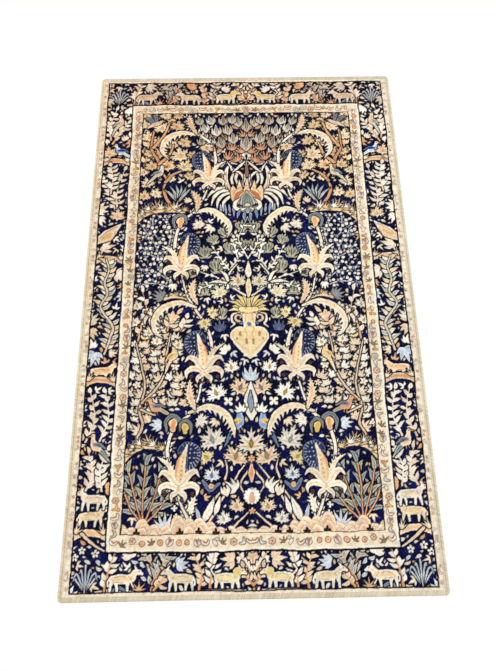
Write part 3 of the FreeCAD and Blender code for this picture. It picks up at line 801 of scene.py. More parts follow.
def draw_vase(cartoon):
    """The two-lobed vase on the centre line, with its scrolls, neck and crown of thorns."""
    clay = (WHITE, dye(244, 218, 168), 7)
    shade = dye(196, 148, 98)
    yellow = (dye(250, 238, 188), dye(238, 204, 120), 4)
    stalk = [(-8, 768), (-44, 794), (-58, 808), (-54, 836), (-34, 864)]
    cartoon.stroke(stalk, [5, 5, 6, 5, 3], (WHITE, CREAM, 2))
    for points in (
        [(-56, 806), (-64, 830), (-82, 846)],
        [(-56, 806), (-86, 812), (-112, 806)],
        [(-56, 804), (-58, 782), (-70, 766)],
    ):
        cartoon.stroke(points, [6, 9, 1.5], IVORY)
    body = [
        Stroke([(-26, 648), (-13, 616), (0, 592)], [54, 32, 12], clay),
        dot(0, 640, 44, clay),
        dot(-26, 650, 52, clay),
        Stroke([(0, 640), (0, 684), (0, 722)], [40, 33, 44], clay),
        Stroke([(0, 596), (-17, 594)], [10, 4], clay),
    ]
    cartoon.paint([Blob(body)], line=2.6)
    cartoon.scratch([(-4, 676), (-14, 668), (-8, 652), (-14, 632)], 1.8, shade)
    cartoon.scratch([(-12, 724), (-9, 704), (-13, 686)], 1.8, shade)
    cartoon.scratch([(-44, 660), (-46, 646), (-36, 630), (-14, 610)], 1.4, shade)
    thorns = (
        (104, 44, 10), (88, 56, 14), (116, 30, 8), (72, 48, 13), (60, 60, 13),
        (44, 48, 13), (30, 56, 13), (14, 44, 13), (0, 52, 14),
    )
    for angle, reach, width in thorns:
        tip = turned([(0, 0), (2, 0.55 * reach), (-5, reach)], angle, at=(0, 726))
        cartoon.stroke(tip, [0.7 * width, width, 1], yellow, line=1.8)
        cartoon.scratch(tip[:2], 1.2, dye(196, 146, 80))
    cartoon.stroke([(-19, 726), (0, 724)], [16, 18], (CREAM, dye(244, 216, 150), 4), line=1.4)
    lip = line([(-18, 721), (-8, 715), (0, 714)], 1.6, shade)
    cartoon.paint([dot(-8, 730, 4, dye(120, 84, 60), False), lip], line=0)
    for x, z, width, height in ((-27, 655, 8, 8), (-9, 633, 6, 15), (-36, 641, 4, 7)):
        blot = [(x, z - height / 3), (x, z + height / 3)]
        cartoon.stroke(blot, [width, width * 0.8], (dye(110, 74, 64), dye(190, 140, 104), 1.5), lined=False)
    cartoon.paint([dot(0, 682, 13, (dye(150, 168, 196), dye(90, 112, 150), 3), False)])
    cartoon.paint([dot(-23, 686, 10, (dye(150, 172, 200), dye(90, 112, 150), 3))], line=1.6)
    handle = [(-34, 716), (-46, 710), (-47, 692), (-41, 684), (-53, 674)]
    cartoon.stroke(handle, [3, 6, 6, 5, 2], (WHITE, CREAM, 2))
    cartoon.paint(curl(-28, 702, 12, -1, (CREAM, PEACH, 2)), line=1.6)
    put(cartoon, palmette(46, (WHITE, dye(246, 226, 178), 5), dye(226, 168, 92)), -28, 796, 6)
    cartoon.paint(leaf([(0, 764), (0, 800), (0, 826)], 17, (WHITE, dye(246, 214, 150), 4), vein=GOLD))
    cartoon.paint(leaf([(0, 824), (0, 846), (0, 872)], 19, (WHITE, CREAM, 4), vein=GOLD))
    put(cartoon, palmette(46, (WHITE, dye(246, 228, 176), 5)), -74, 764, 26)
    put(cartoon, spray(34, 5, 8, (dye(130, 140, 164), dye(60, 68, 104), 3), 44), -80, 664, 4)
    put(cartoon, spray(30, 4, 11, (WHITE, CREAM, 4), 60), -62, 606, 46)


def draw_thistles(cartoon):
    """The thistle branches that rise from the vase to the lotus."""
    heads = (
        (-122, 884, 32, 40, 6), (-86, 838, 38, 50, 0), (-122, 772, 40, 44, 6), (-76, 700, 30, 40, 10),
        (-52, 898, 34, 42, -6), (-12, 908, 28, 40, 8), (-60, 952, 32, 40, 16), (-18, 968, 30, 38, -4),
        (-94, 928, 26, 34, 24), (-152, 826, 24, 28, 20),
    )
    for x, z, width, height, angle in heads:
        put(cartoon, thistle(width, height, (dye(240, 232, 204), dye(140, 140, 118), 2.5)), x, z, angle)
    for points, width in (
        ([(-10, 766), (-42, 800), (-84, 822), (-146, 842)], 6),
        ([(-44, 800), (-100, 802), (-150, 784)], 5),
        ([(-56, 812), (-50, 850), (-30, 880), (-14, 904)], 6),
        ([(-50, 840), (-76, 874), (-98, 910)], 5),
        ([(-30, 880), (-40, 930), (-34, 962)], 4),
        ([(0, 880), (-26, 940), (-2, 1010)], 4),
    ):
        cartoon.paint(leafy_branch(points, width, IVORY, 4, 17, IVORY, 7))


def draw_lotus(cartoon):
    """The great lotus on the centre line: an arched cup under slim petals that rise and droop."""
    petal = (WHITE, dye(252, 240, 216), 4)
    petals = (
        ([(-36, 1106), (-74, 1116), (-102, 1104), (-120, 1080)], 10),
        ([(-38, 1102), (-72, 1105), (-97, 1088), (-106, 1054)], 11),
        ([(-38, 1096), (-66, 1093), (-86, 1073), (-90, 1042)], 10),
        ([(-36, 1090), (-56, 1081), (-70, 1063), (-71, 1036)], 9),
        ([(-60, 1114), (-70, 1146), (-82, 1172), (-108, 1182)], 10),
        ([(-50, 1108), (-62, 1140), (-62, 1170), (-52, 1200)], 11),
        ([(-40, 1116), (-46, 1144), (-42, 1170), (-64, 1214)], 8),
        ([(-24, 1120), (-34, 1144), (-30, 1166), (-42, 1184)], 8),
        ([(-10, 1122), (-11, 1148), (-22, 1166), (-40, 1172)], 7),
        ([(-42, 1168), (-22, 1188), (-3, 1210)], 8),
        ([(-5, 1124), (-6, 1150), (-3, 1180)], 6),
    )
    for points, width in petals:
        cartoon.stroke(points, [0.5 * width, 0.9 * width, width, 0.12 * width], petal, line=3.0)
    for points, width in petals[4:6]:
        cartoon.scratch(points[:-1], 0.3 * width, dye(210, 160, 116))
    cartoon.paint(leaf([(0, 1140), (0, 1176), (0, 1216)], 10, (dye(214, 176, 150), dye(130, 92, 92), 3)))
    blue = (dye(214, 222, 232), dye(118, 140, 186), 3)
    for x, foot in ((-80, 1032), (-66, 1022), (-54, 1030), (-42, 1018)):
        cartoon.stroke([(x, 1058), (x + 2, 1042), (x + 3, foot)], [3, 7, 2], blue)
    gold = (CREAM, dye(244, 202, 150), 6)
    cup = []
    for x, top in ((-34, 1124), (-18, 1140), (0, 1150)):
        cup.append(Stroke([(x, 1080), (1.15 * x, 1104), (1.25 * x, top)], [26, 20, 1], gold))
    cup.append(Stroke([(-30, 1064), (0, 1058)], [26, 30], gold))
    cartoon.paint([Blob(cup)])
    for points in (
        [(-41, 1090), (-34, 1104), (-20, 1116), (0, 1122)],
        [(-28, 1118), (-31, 1130)],
        [(-14, 1124), (-16, 1138)],
    ):
        cartoon.scratch(points, 2.2, dye(196, 128, 84))
    copper = (dye(214, 140, 92), dye(182, 106, 70), 3)
    cartoon.stroke([(-34, 1074), (-27, 1092), (-12, 1104)], [10, 11, 4], copper, line=1)
    dome = Stroke([(0, 1052), (0, 1076), (0, 1104)], [46, 36, 5], (dye(240, 232, 206), dye(150, 156, 142), 6))
    cartoon.paint([dome], line=2)
    for x in (0, -8, -15):
        cartoon.scratch([(x, 1056), (0.8 * x, 1078), (0.3 * x, 1096)], 1.7, dye(84, 92, 104))
    rim = [(-20, 1080), (-34, 1066), (-36, 1050), (-22, 1040), (-6, 1046)]
    cartoon.stroke(rim, [2, 9, 11, 10, 3], (WHITE, CREAM, 5), line=2.2)
    cartoon.stroke([(-26, 1056), (-16, 1052)], [7, 5], (dye(60, 66, 100), NAVY, 3), line=0.6)
    cartoon.stroke([(-5, 1056), (0, 1057)], [8, 10], (WHITE, dye(244, 226, 180), 3), line=1.6)
    for x, z, angle in ((-24, 1022, 166), (-8, 1014, 178)):
        put(cartoon, leaf([(0, -10), (1, 4), (0, 20)], 9, (SKY, dye(110, 130, 176), 3)), x, z + 8, angle)


def draw_berry_bush(cartoon):
    """The dark bush full of white berries."""
    random = cartoon.random
    stalk = (dye(232, 230, 218), dye(196, 200, 200), 1)
    for points in (
        [(-208, 790), (-236, 826), (-276, 848), (-312, 850)],
        [(-212, 800), (-246, 856), (-262, 920), (-300, 980)],
        [(-214, 806), (-232, 880), (-222, 960), (-236, 1016)],
        [(-222, 796), (-262, 808), (-308, 800)],
        [(-230, 870), (-282, 900), (-308, 930)],
        [(-240, 930), (-270, 970), (-274, 1024)],
        [(-226, 900), (-216, 950), (-212, 1010)],
        [(-226, 830), (-204, 880), (-206, 940)],
    ):
        cartoon.paint([line(points, 3.2, stalk)], line=0.8)
    for row in range(14):
        for column in range(8):
            x = -312 + 15.5 * column + (7.7 if row % 2 else 0) + random.uniform(-5, 5)
            z = 798 + 17.0 * row + random.uniform(-4, 4)
            if x < -198 and (z > 872 or x < -236) and random.uniform() > 0.06:
                twig = turned([(0, -2), (3, -8), (0, -14)], random.uniform(-40, 40), at=(x, z))
                cartoon.scratch(twig, 1.5, stalk)
                size = random.uniform(7.5, 11)
                cartoon.paint([dot(x, z, size, (WHITE, dye(236, 226, 206), 3))], line=1.8)
                if (row + column) % 3 == 0:
                    blade = turned([(0, 0), (2, 7), (0, 13)], random.uniform(0, 360), at=(x + 7, z + 5))
                    cartoon.paint(leaf(blade, 5, (dye(176, 190, 200), dye(110, 132, 162), 2)), line=1.2)


def draw_ledges(cartoon):
    """Strips of ground that the trees stand on, overgrown with grass."""
    sand = (dye(252, 230, 188), dye(236, 188, 130), 8)
    grasses = (
        (CREAM, dye(244, 214, 160), 3),
        (dye(250, 220, 172), dye(222, 162, 104), 3),
        (WHITE, dye(246, 224, 180), 3),
    )
    for points, widths, tufts in (
        ([(-324, 322), (-300, 352), (-262, 360), (-212, 344)], [18, 26, 20, 5], 12),
        ([(-324, 1004), (-298, 1036), (-248, 1046), (-186, 1032)], [18, 30, 24, 5], 14),
        ([(-258, 750), (-232, 764), (-196, 770), (-168, 756)], [6, 16, 16, 4], 8),
    ):
        cartoon.stroke(points, widths, sand)
        for i, (x, z) in enumerate(smooth(points, tufts + 1)[1:]):
            size = (22 + 10 * math.sin(1.9 * i)) * widths[1] / 28
            lift, lean = 3 + 6 * math.sin(3.1 * i), 36 * math.sin(2.7 * i)
            cartoon.paint(moved(grass_tuft(size, grasses[i % 3], 6), x, z + lift, lean), line=1.6)
    put(cartoon, spray(34, 6, 8, DUSK, 60), -236, 764, 60)


def draw_lower_tree(cartoon):
    """The tall flowering tree half way up the field, with its birds."""
    trunks = (
        [(-296, 372), (-278, 410), (-288, 452), (-276, 510), (-288, 574), (-304, 630)],
        [(-284, 452), (-262, 442), (-246, 436)],
        [(-282, 470), (-248, 506), (-226, 548), (-222, 606), (-214, 660)],
        [(-236, 528), (-210, 548), (-190, 560)],
        [(-226, 560), (-250, 590), (-262, 632)],
        [(-258, 496), (-232, 478), (-206, 474)],
        [(-222, 600), (-228, 650), (-232, 700)],
    )
    bark = (CREAM, dye(228, 164, 124), 4)
    for points in trunks:
        cartoon.paint(stem(points, 8, bark))
    random = cartoon.random
    dyeings = (
        (WHITE, CREAM, 6),
        (CREAM, dye(244, 206, 172), 4),
        (WHITE, dye(248, 222, 184), 4),
        (CREAM, dye(240, 194, 150), 5),
    )
    for row in range(14):
        for column in range(6):
            x = -308 + 24 * column + (12 if row % 2 else 0) + random.uniform(-4, 4)
            z = 408 + 22.5 * row + random.uniform(-4, 4)
            under_branch = x > -280 + 0.45 * (z - 400) and z < 470
            beside_stem = (x > -188 and z > 560) or (x > -200 and z < 450)
            if under_branch or beside_stem:
                continue
            colours = dyeings[(2 * row + column) % 4]
            lean = random.uniform(-32, 32) + (12 if column % 2 else -12)
            if (row * 3 + column) % 5 == 0:
                put(cartoon, blossom(random.uniform(9, 11), colours, 5, dye(206, 150, 96), lean), x, z)
            elif (row + column) % 2:
                twig = spray(random.uniform(25, 30), 5, 7.5, colours, 66, colours[1] * VEIN)
                put(cartoon, twig, x, z - 10, lean)
            else:
                put(cartoon, palmette(random.uniform(26, 31), colours), x, z - 12, lean)
    for points in trunks[:3]:
        cartoon.paint(stem(points, 6, bark))
    put(cartoon, bird((PINK, ORANGE, 6), DUSK, (CREAM, OLIVE, 3)), -246, 456, 8, 1.1, True)
    finch = bird((CREAM, dye(240, 196, 130), 6), (CREAM, GOLD, 4), (CREAM, PEACH, 4))
    put(cartoon, finch, -204, 596, 30, 1.1)
    put(cartoon, bird(HONEY, FROST, SAGE), -282, 652, 20, 0.95, True)


def draw_upper_tree(cartoon):
    """The tree in the upper corner of the field: a red trunk under wheat-coloured flowers."""
    trunks = (
        [(-200, 1040), (-232, 1070), (-246, 1112), (-240, 1146), (-262, 1182)],
        [(-262, 1176), (-268, 1216), (-288, 1256), (-284, 1318)],
        [(-242, 1136), (-222, 1160), (-196, 1176)],
        [(-264, 1200), (-236, 1230), (-222, 1270)],
        [(-282, 1262), (-254, 1300), (-236, 1348)],
    )
    wheat = (dye(253, 238, 208), dye(243, 208, 158), 6)
    straw = (dye(249, 224, 184), dye(230, 182, 128), 6)
    bark = (dye(250, 208, 160), dye(206, 136, 88), 4)
    cartoon.paint(leafy_branch([(-306, 1196), (-298, 1250), (-304, 1310)], 6, bark, 5, 28, wheat))
    cartoon.paint(leafy_branch([(-240, 1318), (-228, 1346), (-232, 1376)], 5, bark, 4, 26, straw))
    flowers = (
        (-236, 1176, 50, 12), (-192, 1176, 48, -20), (-176, 1146, 34, -30), (-200, 1212, 56, 8),
        (-262, 1222, 44, 20), (-230, 1256, 46, 4), (-194, 1264, 40, -18), (-258, 1316, 46, 14),
        (-214, 1322, 42, -10), (-308, 1160, 38, 20), (-284, 1180, 38, 6), (-296, 1284, 42, 10),
        (-268, 1268, 34, 0), (-306, 1330, 40, 16), (-170, 1222, 30, -24), (-226, 1136, 34, 10),
        (-294, 1228, 36, -8), (-290, 1120, 40, 20), (-304, 1076, 38, 0), (-272, 1084, 36, -14),
        (-282, 1356, 40, 20), (-250, 1366, 36, -10), (-206, 1366, 36, 8), (-308, 1366, 32, 0),
    )
    for i, (x, z, size, angle) in enumerate(flowers):
        put(cartoon, palmette(size, wheat if i % 2 else straw), x, z, angle)
        seed = dot(x, z + 0.42 * size, 4, dye(150, 84, 60), False)
        cartoon.paint([seed, dot(x + 3, z + 0.32 * size, 3, INK, False)])
    for points in trunks:
        cartoon.paint(stem(points, 9, bark))
    grey_wing = (dye(190, 190, 174), dye(136, 146, 138), 4)
    put(cartoon, bird((WHITE, dye(226, 216, 190), 5), grey_wing, ASH), -262, 1166, 10, 1.05)
    put(cartoon, flying_bird(BLUSH, DUSK), -276, 1346, 10, 0.95)
    swirl = ((-58, 16), (-34, 26), (-10, 28), (14, 22), (38, 10), (62, -6))
    for angle, lean in swirl:
        points = turned([(0, 0), (0.3 * lean, 32), (lean * 0.2, 62)], -angle * 0.7)
        put(cartoon, leaf(points, 8, (WHITE, dye(178, 184, 186), 2.5), SLATE), -204, 1066, 4)


def draw_side_tree(cartoon):
    """The slim flowering tree beside the field's edge, half way up."""
    for points in (
        [(-300, 640), (-292, 690), (-280, 724), (-292, 778)],
        [(-284, 722), (-262, 700), (-250, 690)],
    ):
        cartoon.paint(leafy_branch(points, 5, BARK, 5, 26, (WHITE, dye(248, 222, 184), 5)))
    peach = (CREAM, dye(240, 190, 146), 5)
    cartoon.paint(leafy_branch([(-222, 668), (-214, 694), (-196, 716)], 5, BARK, 3, 28, peach))
    cartoon.paint(leafy_branch([(-186, 668), (-176, 686), (-170, 704)], 4, BARK, 2, 24, CREAMY))
    flowers = (
        (-270, 660, 10), (-306, 690, 30), (-266, 716, -20), (-306, 736, 10),
        (-250, 634, 0), (-198, 626, -30), (-244, 726, 10),
    )
    for x, z, angle in flowers:
        put(cartoon, palmette(32, (WHITE, dye(248, 224, 186), 5), GOLD), x, z - 8, angle)


def draw_top_buds(cartoon):
    """The fan of grey buds, russet leaves and pale stems at the field's top."""
    pale = (WHITE, dye(236, 214, 188), 3)
    for points, leaves in (
        ([(-2, 1190), (-36, 1240), (-58, 1300), (-66, 1370)], 7),
        ([(-6, 1196), (-60, 1232), (-104, 1282), (-120, 1352)], 7),
        ([(0, 1204), (-16, 1262), (-18, 1318), (-36, 1372)], 6),
        ([(-30, 1196), (-76, 1206), (-130, 1240)], 5),
    ):
        cartoon.paint(leafy_branch(points, 4, pale, leaves, 19, pale, 7), line=2)
    russet = (dye(238, 200, 164), dye(178, 108, 78), 2.6)
    leaves = (
        (-26, 1206, 42, 30), (-58, 1214, 36, -16), (-94, 1214, 32, 14), (-12, 1236, 38, 12),
        (-82, 1238, 34, 40), (-44, 1246, 36, 0), (-112, 1244, 30, -6), (-8, 1296, 30, 22),
        (-64, 1282, 32, 24), (-98, 1286, 28, 30), (-36, 1326, 28, -18), (-128, 1296, 26, 18),
    )
    for x, z, size, angle in leaves:
        put(cartoon, spray(size, 5, 0.15 * size, russet, 46), x, z, angle)
    shades = (
        (dye(234, 222, 202), dye(168, 156, 138), 4),
        (dye(222, 204, 184), dye(148, 132, 118), 4),
        (WHITE, dye(190, 178, 158), 4),
    )
    buds = (
        (0, 1246, 32, 60), (-74, 1256, 27, 44), (-106, 1262, 24, 38), (-37, 1272, 26, 44),
        (-134, 1268, 22, 34), (-88, 1300, 27, 42), (-54, 1306, 25, 40), (0, 1316, 28, 50),
        (-122, 1314, 25, 38), (-24, 1334, 24, 38), (-70, 1342, 26, 36), (-104, 1344, 25, 34),
        (-140, 1342, 22, 32), (-118, 1222, 20, 32), (-76, 1190, 24, 36), (-44, 1346, 22, 32),
    )
    for i, (x, z, width, height) in enumerate(buds):
        lean = -0.13 * x + 7 * math.sin(2.4 * i) * (x < 0)
        put(cartoon, bud(width, height, shades[i % 3], dye(84, 66, 62)), x, z, lean)


def draw_field(cartoon):
    """The navy field and all that grows in it, from the back to the front."""
    cartoon.clip = WHOLE_HALF
    x0, z0, x1, z1 = FIELD
    cartoon.rectangle(x0 - 3, z0 - 1, x1, z1 + 3, INK)
    cartoon.rectangle(*FIELD, NAVY)
    cartoon.clip = FIELD
    draw_berry_bush(cartoon)
    draw_lower_tree(cartoon)
    draw_upper_tree(cartoon)
    draw_side_tree(cartoon)
    draw_thistles(cartoon)
    draw_top_buds(cartoon)
    draw_lotus(cartoon)
    draw_shrub(cartoon)
    draw_lower_axis(cartoon)
    draw_centre_flowers(cartoon)
    draw_vase(cartoon)
    draw_ledges(cartoon)
    draw_stems(cartoon)
    draw_lilies(cartoon)
    draw_hills(cartoon)
    fill_field(cartoon)


TOP_BORDER_DARKENING = np.array((0.94, 0.91, 0.9), np.float32)  # the top border is made darker and a little browner


def draw_main_border(cartoon):
    """The navy border round the field, with the gaps in it filled."""
    outer = frame_rectangle(GUARD_OUTER, GUARD_END)
    cartoon.rectangle(*outer, NAVY)
    small = (
        (17, small_spray(32, 5)),
        (12, small_spray(24, 5)),
        (9, small_spray(18, 3)),
        (7, small_leaf(16)),
        (5, small_leaf(11)),
        (4, small_leaf(8)),
    )
    inner = -HALF_WIDTH + BORDER_INNER + 6
    regions = (
        (outer[0], outer[1], inner, outer[3]),
        (inner, outer[1], 0, BORDER_BAND),
        (inner, HEIGHT - BORDER_BAND, 0, outer[3]),
    )
    for foot in (20, HEIGHT - 104):
        draw_border_corner(cartoon, foot)
        draw_border_row(cartoon, foot - 2)
    draw_border_side(cartoon)
    for region in regions:
        cartoon.clip = region
        fill_gaps(cartoon, region, small, 2200)
    cartoon.clip = WHOLE_HALF
    # The top border is made darker and a little browner.
    cartoon.colour[cartoon.window((outer[0], HEIGHT - BORDER_BAND, 0, outer[3]))] *= TOP_BORDER_DARKENING


def draw_border_corner(cartoon, foot):
    """The palm tuft in the corner of the border."""
    for frond in palm_tuft(38, 62, (WHITE, dye(178, 192, 214), 1.8)):
        cartoon.paint(moved([frond], -396, foot), line=1.3)
    for x, z in ((-424, 78), (-408, 92), (-376, 84)):
        put(cartoon, blossom(9, CREAMY, 5, INK), x, foot + z)


def draw_border_row(cartoon, foot):
    """The end border, with its animals, from the corner to the tree on the centre line."""
    cartoon.stroke([(-370, foot + 2), (-330, foot + 4), (-286, foot + 2)], [5, 14, 4], PEACHY)
    pool = (dye(160, 176, 192), dye(104, 126, 150), 4)
    cartoon.stroke([(-334, foot + 3), (-318, foot + 12), (-300, foot + 3)], [4, 9, 4], pool)
    trees = (
        ([(-350, foot + 6), (-344, foot + 44), (-330, foot + 84)], 5, 24, CREAMY),
        ([(-242, foot + 6), (-234, foot + 44), (-258, foot + 84)], 5, 28, (CREAM, dye(150, 156, 152), 4)),
        ([(-240, foot + 20), (-222, foot + 50), (-204, foot + 86)], 5, 28, (CREAM, dye(140, 150, 156), 4)),
        ([(-236, foot + 6), (-218, foot + 24), (-206, foot + 50)], 3, 22, (CREAM, dye(228, 196, 150), 4)),
        ([(-130, foot + 2), (-124, foot + 40), (-142, foot + 84)], 5, 22, PEACHY),
        ([(-104, foot + 2), (-100, foot + 50), (-92, foot + 88)], 5, 24, CREAMY),
        ([(0, foot), (0, foot + 50), (0, foot + 86)], 5, 22, PEACHY),
        ([(0, foot + 30), (-16, foot + 56), (-34, foot + 82)], 4, 20, CREAMY),
        ([(0, foot + 14), (-16, foot + 30), (-24, foot + 52)], 3, 18, PEACHY),
    )
    bark = (dye(240, 190, 146), dye(206, 140, 98), 3)
    for points, leaves, reach, colours in trees:
        cartoon.paint(leafy_branch(points, 6, bark, leaves, reach, colours, 10))
    fawn = (WHITE, dye(244, 212, 166), 7)
    put(cartoon, beast(fawn), -308, foot + 4, 0, 0.98)
    put(cartoon, beast((WHITE, dye(248, 222, 176), 7)), -174, foot + 3, 0, 0.98, True)
    mane = (dye(250, 232, 180), dye(238, 206, 132), 4)
    lion = beast((WHITE, dye(248, 226, 168), 7), mane=mane, tail_up=True)
    put(cartoon, lion, -62, foot + 3, 0, 0.98)
    put(cartoon, grass_tuft(26, GINGER, 5), -270, foot + 4)
    cartoon.stroke([(-112, foot + 2), (-60, foot + 1), (-20, foot + 3)], [3, 6, 4], HONEY)


def draw_border_side(cartoon):
    """The side border, a chain of scenes one above another."""
    fawn = (CREAM, dye(242, 208, 152), 9)
    beasts = (
        (166, fawn, None, False),
        (206, (WHITE, dye(246, 216, 178), 9), PEACH, True),
        (530, (CREAM, dye(236, 180, 126), 9), ORANGE, False),
    )
    for foot, coat, horned, flip in beasts:
        put(cartoon, beast(coat, horns=horned), BORDER_MIDDLE, foot, 0, 0.95, flip)
    for z, colours in ((150, PEACHY), (530, FLAME), (886, PEACHY), (1212, (CREAM, dye(228, 166, 112), 7))):
        cartoon.stroke([(-440, z - 18), (-412, z), (-372, z - 2), (-342, z - 22)], [6, 17, 14, 3], colours)
        put(cartoon, grass_tuft(26, (CREAM, dye(242, 204, 150), 3), 6), -424, z + 2, 14)
        put(cartoon, grass_tuft(24, (CREAM, dye(242, 204, 150), 3), 6), -360, z, -14)
    cartoon.paint(stem([(-412, 150), (-386, 128), (-350, 106)], 7, (CREAM, PINK, 4)))
    leafy = (
        [(-412, 252), (-396, 290), (-408, 340)],
        [(-372, 250), (-378, 300), (-360, 350)],
        [(-420, 372), (-402, 430), (-416, 500)],
        [(-384, 372), (-366, 430), (-378, 500)],
        [(-418, 904), (-402, 930), (-410, 960)],
        [(-384, 1040), (-404, 1100), (-424, 1150)],
        [(-380, 1040), (-384, 1110), (-366, 1180)],
        [(-404, 1100), (-398, 1150), (-408, 1196)],
    )
    for i, points in enumerate(leafy):
        leaves = ((WHITE, dye(248, 218, 188), 4), CREAMY)[i % 2]
        cartoon.paint(leafy_branch(points, 5, (WHITE, PINK, 3), 6, 24, leaves, 10, TAN))
    put(cartoon, bird(BLUSH, DUSK, (CREAM, TEAL, 3)), -392, 360, -10, 1.1, True)
    trunk = [(-388, 604), (-376, 650), (-370, 682), (-392, 714), (-408, 742)]
    trunk += [(-390, 776), (-400, 812), (-392, 850), (-402, 884)]
    for i, z in enumerate(range(620, 880, 14)):
        place = np.interp(z, [p[1] for p in trunk], [p[0] for p in trunk])
        for side in (-1, 1):
            sway = 8 * math.sin(2.3 * i + side)
            blade = turned([(0, 0), (3, 13), (0, 27 + 0.6 * sway)], -side * 54 + sway, at=(place, z))
            colours = ((WHITE, dye(184, 184, 168), 4), CREAMY, (CREAM, dye(240, 208, 160), 5))[(i + side) % 3]
            cartoon.paint(leaf(blade, 11.5, colours, SLATE if (i + side) % 3 == 0 else TAN))
    cartoon.stroke(trunk, [5, 6, 5, 5, 4], (WHITE, dye(236, 204, 166), 3), line=2)
    cartoon.stroke([(-428, 944), (-402, 960), (-366, 996)], [20, 36, 4], (WHITE, dye(246, 218, 174), 6))
    for vein in ([(-424, 952), (-404, 972), (-376, 988)], [(-416, 936), (-390, 948), (-380, 972)]):
        cartoon.scratch(vein, 2, dye(176, 126, 88))
    umber = (dye(170, 118, 84), dye(226, 186, 136), 2.5)
    cartoon.stroke([(-412, 952), (-394, 966)], [10, 8], umber, lined=False)
    put(cartoon, palmette(40, (CREAM, dye(240, 186, 140), 6)), -378, 1010)
    put(cartoon, bird((WHITE, SKY, 5), INDIGO, FROST), -384, 1246, 0, 1.1, True)
    put(cartoon, palmette(44, (CREAM, dye(236, 178, 128), 6)), -414, 1226, 10)
    cartoon.paint(leafy_branch([(-408, 1276), (-388, 1320), (-366, 1350)], 6, BARK, 5, 25, CREAMY, 10, TAN))
    twig = [(-414, 1290), (-420, 1340), (-404, 1400)]
    cartoon.paint(leafy_branch(twig, 5, (CREAM, PINK, 3), 6, 24, CREAMY, 10, TAN))
    put(cartoon, bird(BLUSH, ASH, ASH), -390, 1352, 30, 1.05)


def draw_guards(cartoon):
    """The cream guard bands on both sides of the main border, with their small motifs."""
    random = cartoon.random
    x0, z0, x1, z1 = frame_rectangle(BORDER_INNER, BORDER_INNER_END)
    cartoon.rectangle(x0 - 4, z0 - 4, x1, z1 + 4, INK)
    cartoon.rectangle(x0, z0, x1, z1, dye(255, 247, 228), 0.7, True)
    cartoon.rectangle(x0 + 5, z0 + 5, x1, z1 - 5, dye(245, 226, 194), 0.7, True)
    outer = frame_rectangle(GUARD_OUTER, GUARD_END)
    for strip in (
        (-HALF_WIDTH, 0, outer[0], HEIGHT),
        (-HALF_WIDTH, 0, 0, outer[1]),
        (-HALF_WIDTH, outer[3], 0, HEIGHT),
    ):
        cartoon.rectangle(*strip, dye(246, 231, 206), 0.7, True)
    for strip in (
        (outer[0], outer[1], outer[0] + 4, outer[3]),
        (outer[0], outer[1], 0, outer[1] + 3),
        (outer[0], outer[3] - 4, 0, outer[3]),
    ):
        cartoon.rectangle(*strip, INK, -0.6, True)
    outline = dye(104, 76, 64)
    pebble, straw = (dye(160, 160, 160), dye(226, 222, 208), 2), (YELLOW, GOLD, 2)
    makers = (
        lambda: blossom(10, (dye(248, 220, 192), dye(214, 150, 118), 3), 6, MAROON),
        lambda: curl(0, 0, 11, 1, (dye(236, 226, 206), dye(198, 196, 186), 2)),
        lambda: [Stroke([(-3, -9), (6, 0), (-3, 10)], [3, 8, 2], pebble)],
        lambda: [dot(0, 0, 13, (dye(200, 120, 84), dye(236, 196, 156), 2)), dot(0, 0, 4, RUST, False)],
        lambda: duck((dye(150, 160, 170), CREAM, 1.5), RUST),
        lambda: moved(grass_tuft(16, (dye(120, 110, 90), OLIVE, 1), 4), 0, -7),
        lambda: moved(tulip(17, (dye(190, 196, 200), dye(222, 226, 222), 2), dye(200, 128, 98)), 0, -8),
        lambda: moved(small_leaf(15)(random), 0, 0) + moved(small_leaf(12)(random), 8, 3, 60),
        lambda: [Stroke([(-5, -8), (0, 0), (-5, 9)], [2, 5, 2], straw), dot(6, 2, 7, (RUST, PINK, 2))],
    )
    middle = -HALF_WIDTH + (BORDER_INNER + GUARD_INNER) / 2
    places = [(middle, z) for z in np.arange(128, HEIGHT - 118, 20.0)]
    for z in (128, HEIGHT - 124):
        places += [(x, z) for x in np.arange(middle + 22, 4, 22.0)]
    for x, z in places:
        motif = makers[int(random.integers(len(makers)))]()
        place = (x + random.uniform(-3, 3), z + random.uniform(-3, 3))
        motif = moved(motif, *place, random.uniform(-40, 40), random.uniform(0.75, 1.05))
        cartoon.paint(motif, line=1.3, ink=outline)
    faded = dye(186, 160, 138)
    for i, z in enumerate(np.arange(30, HEIGHT - 24, 17.0)):
        if i % 5 != 3:
            place = (-HALF_WIDTH + 18 + math.sin(2.9 * i), z + 4 * math.sin(1.7 * i))
            motif = moved(makers[(i * 4) % len(makers)](), *place, 40 * (i % 3), 0.5)
            cartoon.paint(motif, line=1.0, ink=faded)


def draw_cartoon():
    """Draws the whole left half, from the back to the front."""
    cartoon = Cartoon()
    draw_main_border(cartoon)
    draw_guards(cartoon)
    draw_field(cartoon)
    return cartoon


def soft_noise(random, shape, pitch):
    """Smooth random values from -1 to 1, which change over pitch squares."""

    def spread(values, count):
        """Blends rows of values smoothly over count places."""
        place = np.arange(count) / pitch
        first = place.astype(int)
        t = (place - first)[:, None]
        return values[first] + (values[first + 1] - values[first]) * t * t * (3 - 2 * t)

    coarse = random.uniform(-1, 1, [int(count / pitch) + 2 for count in shape])
    return spread(spread(coarse, shape[0]).T, shape[1]).T


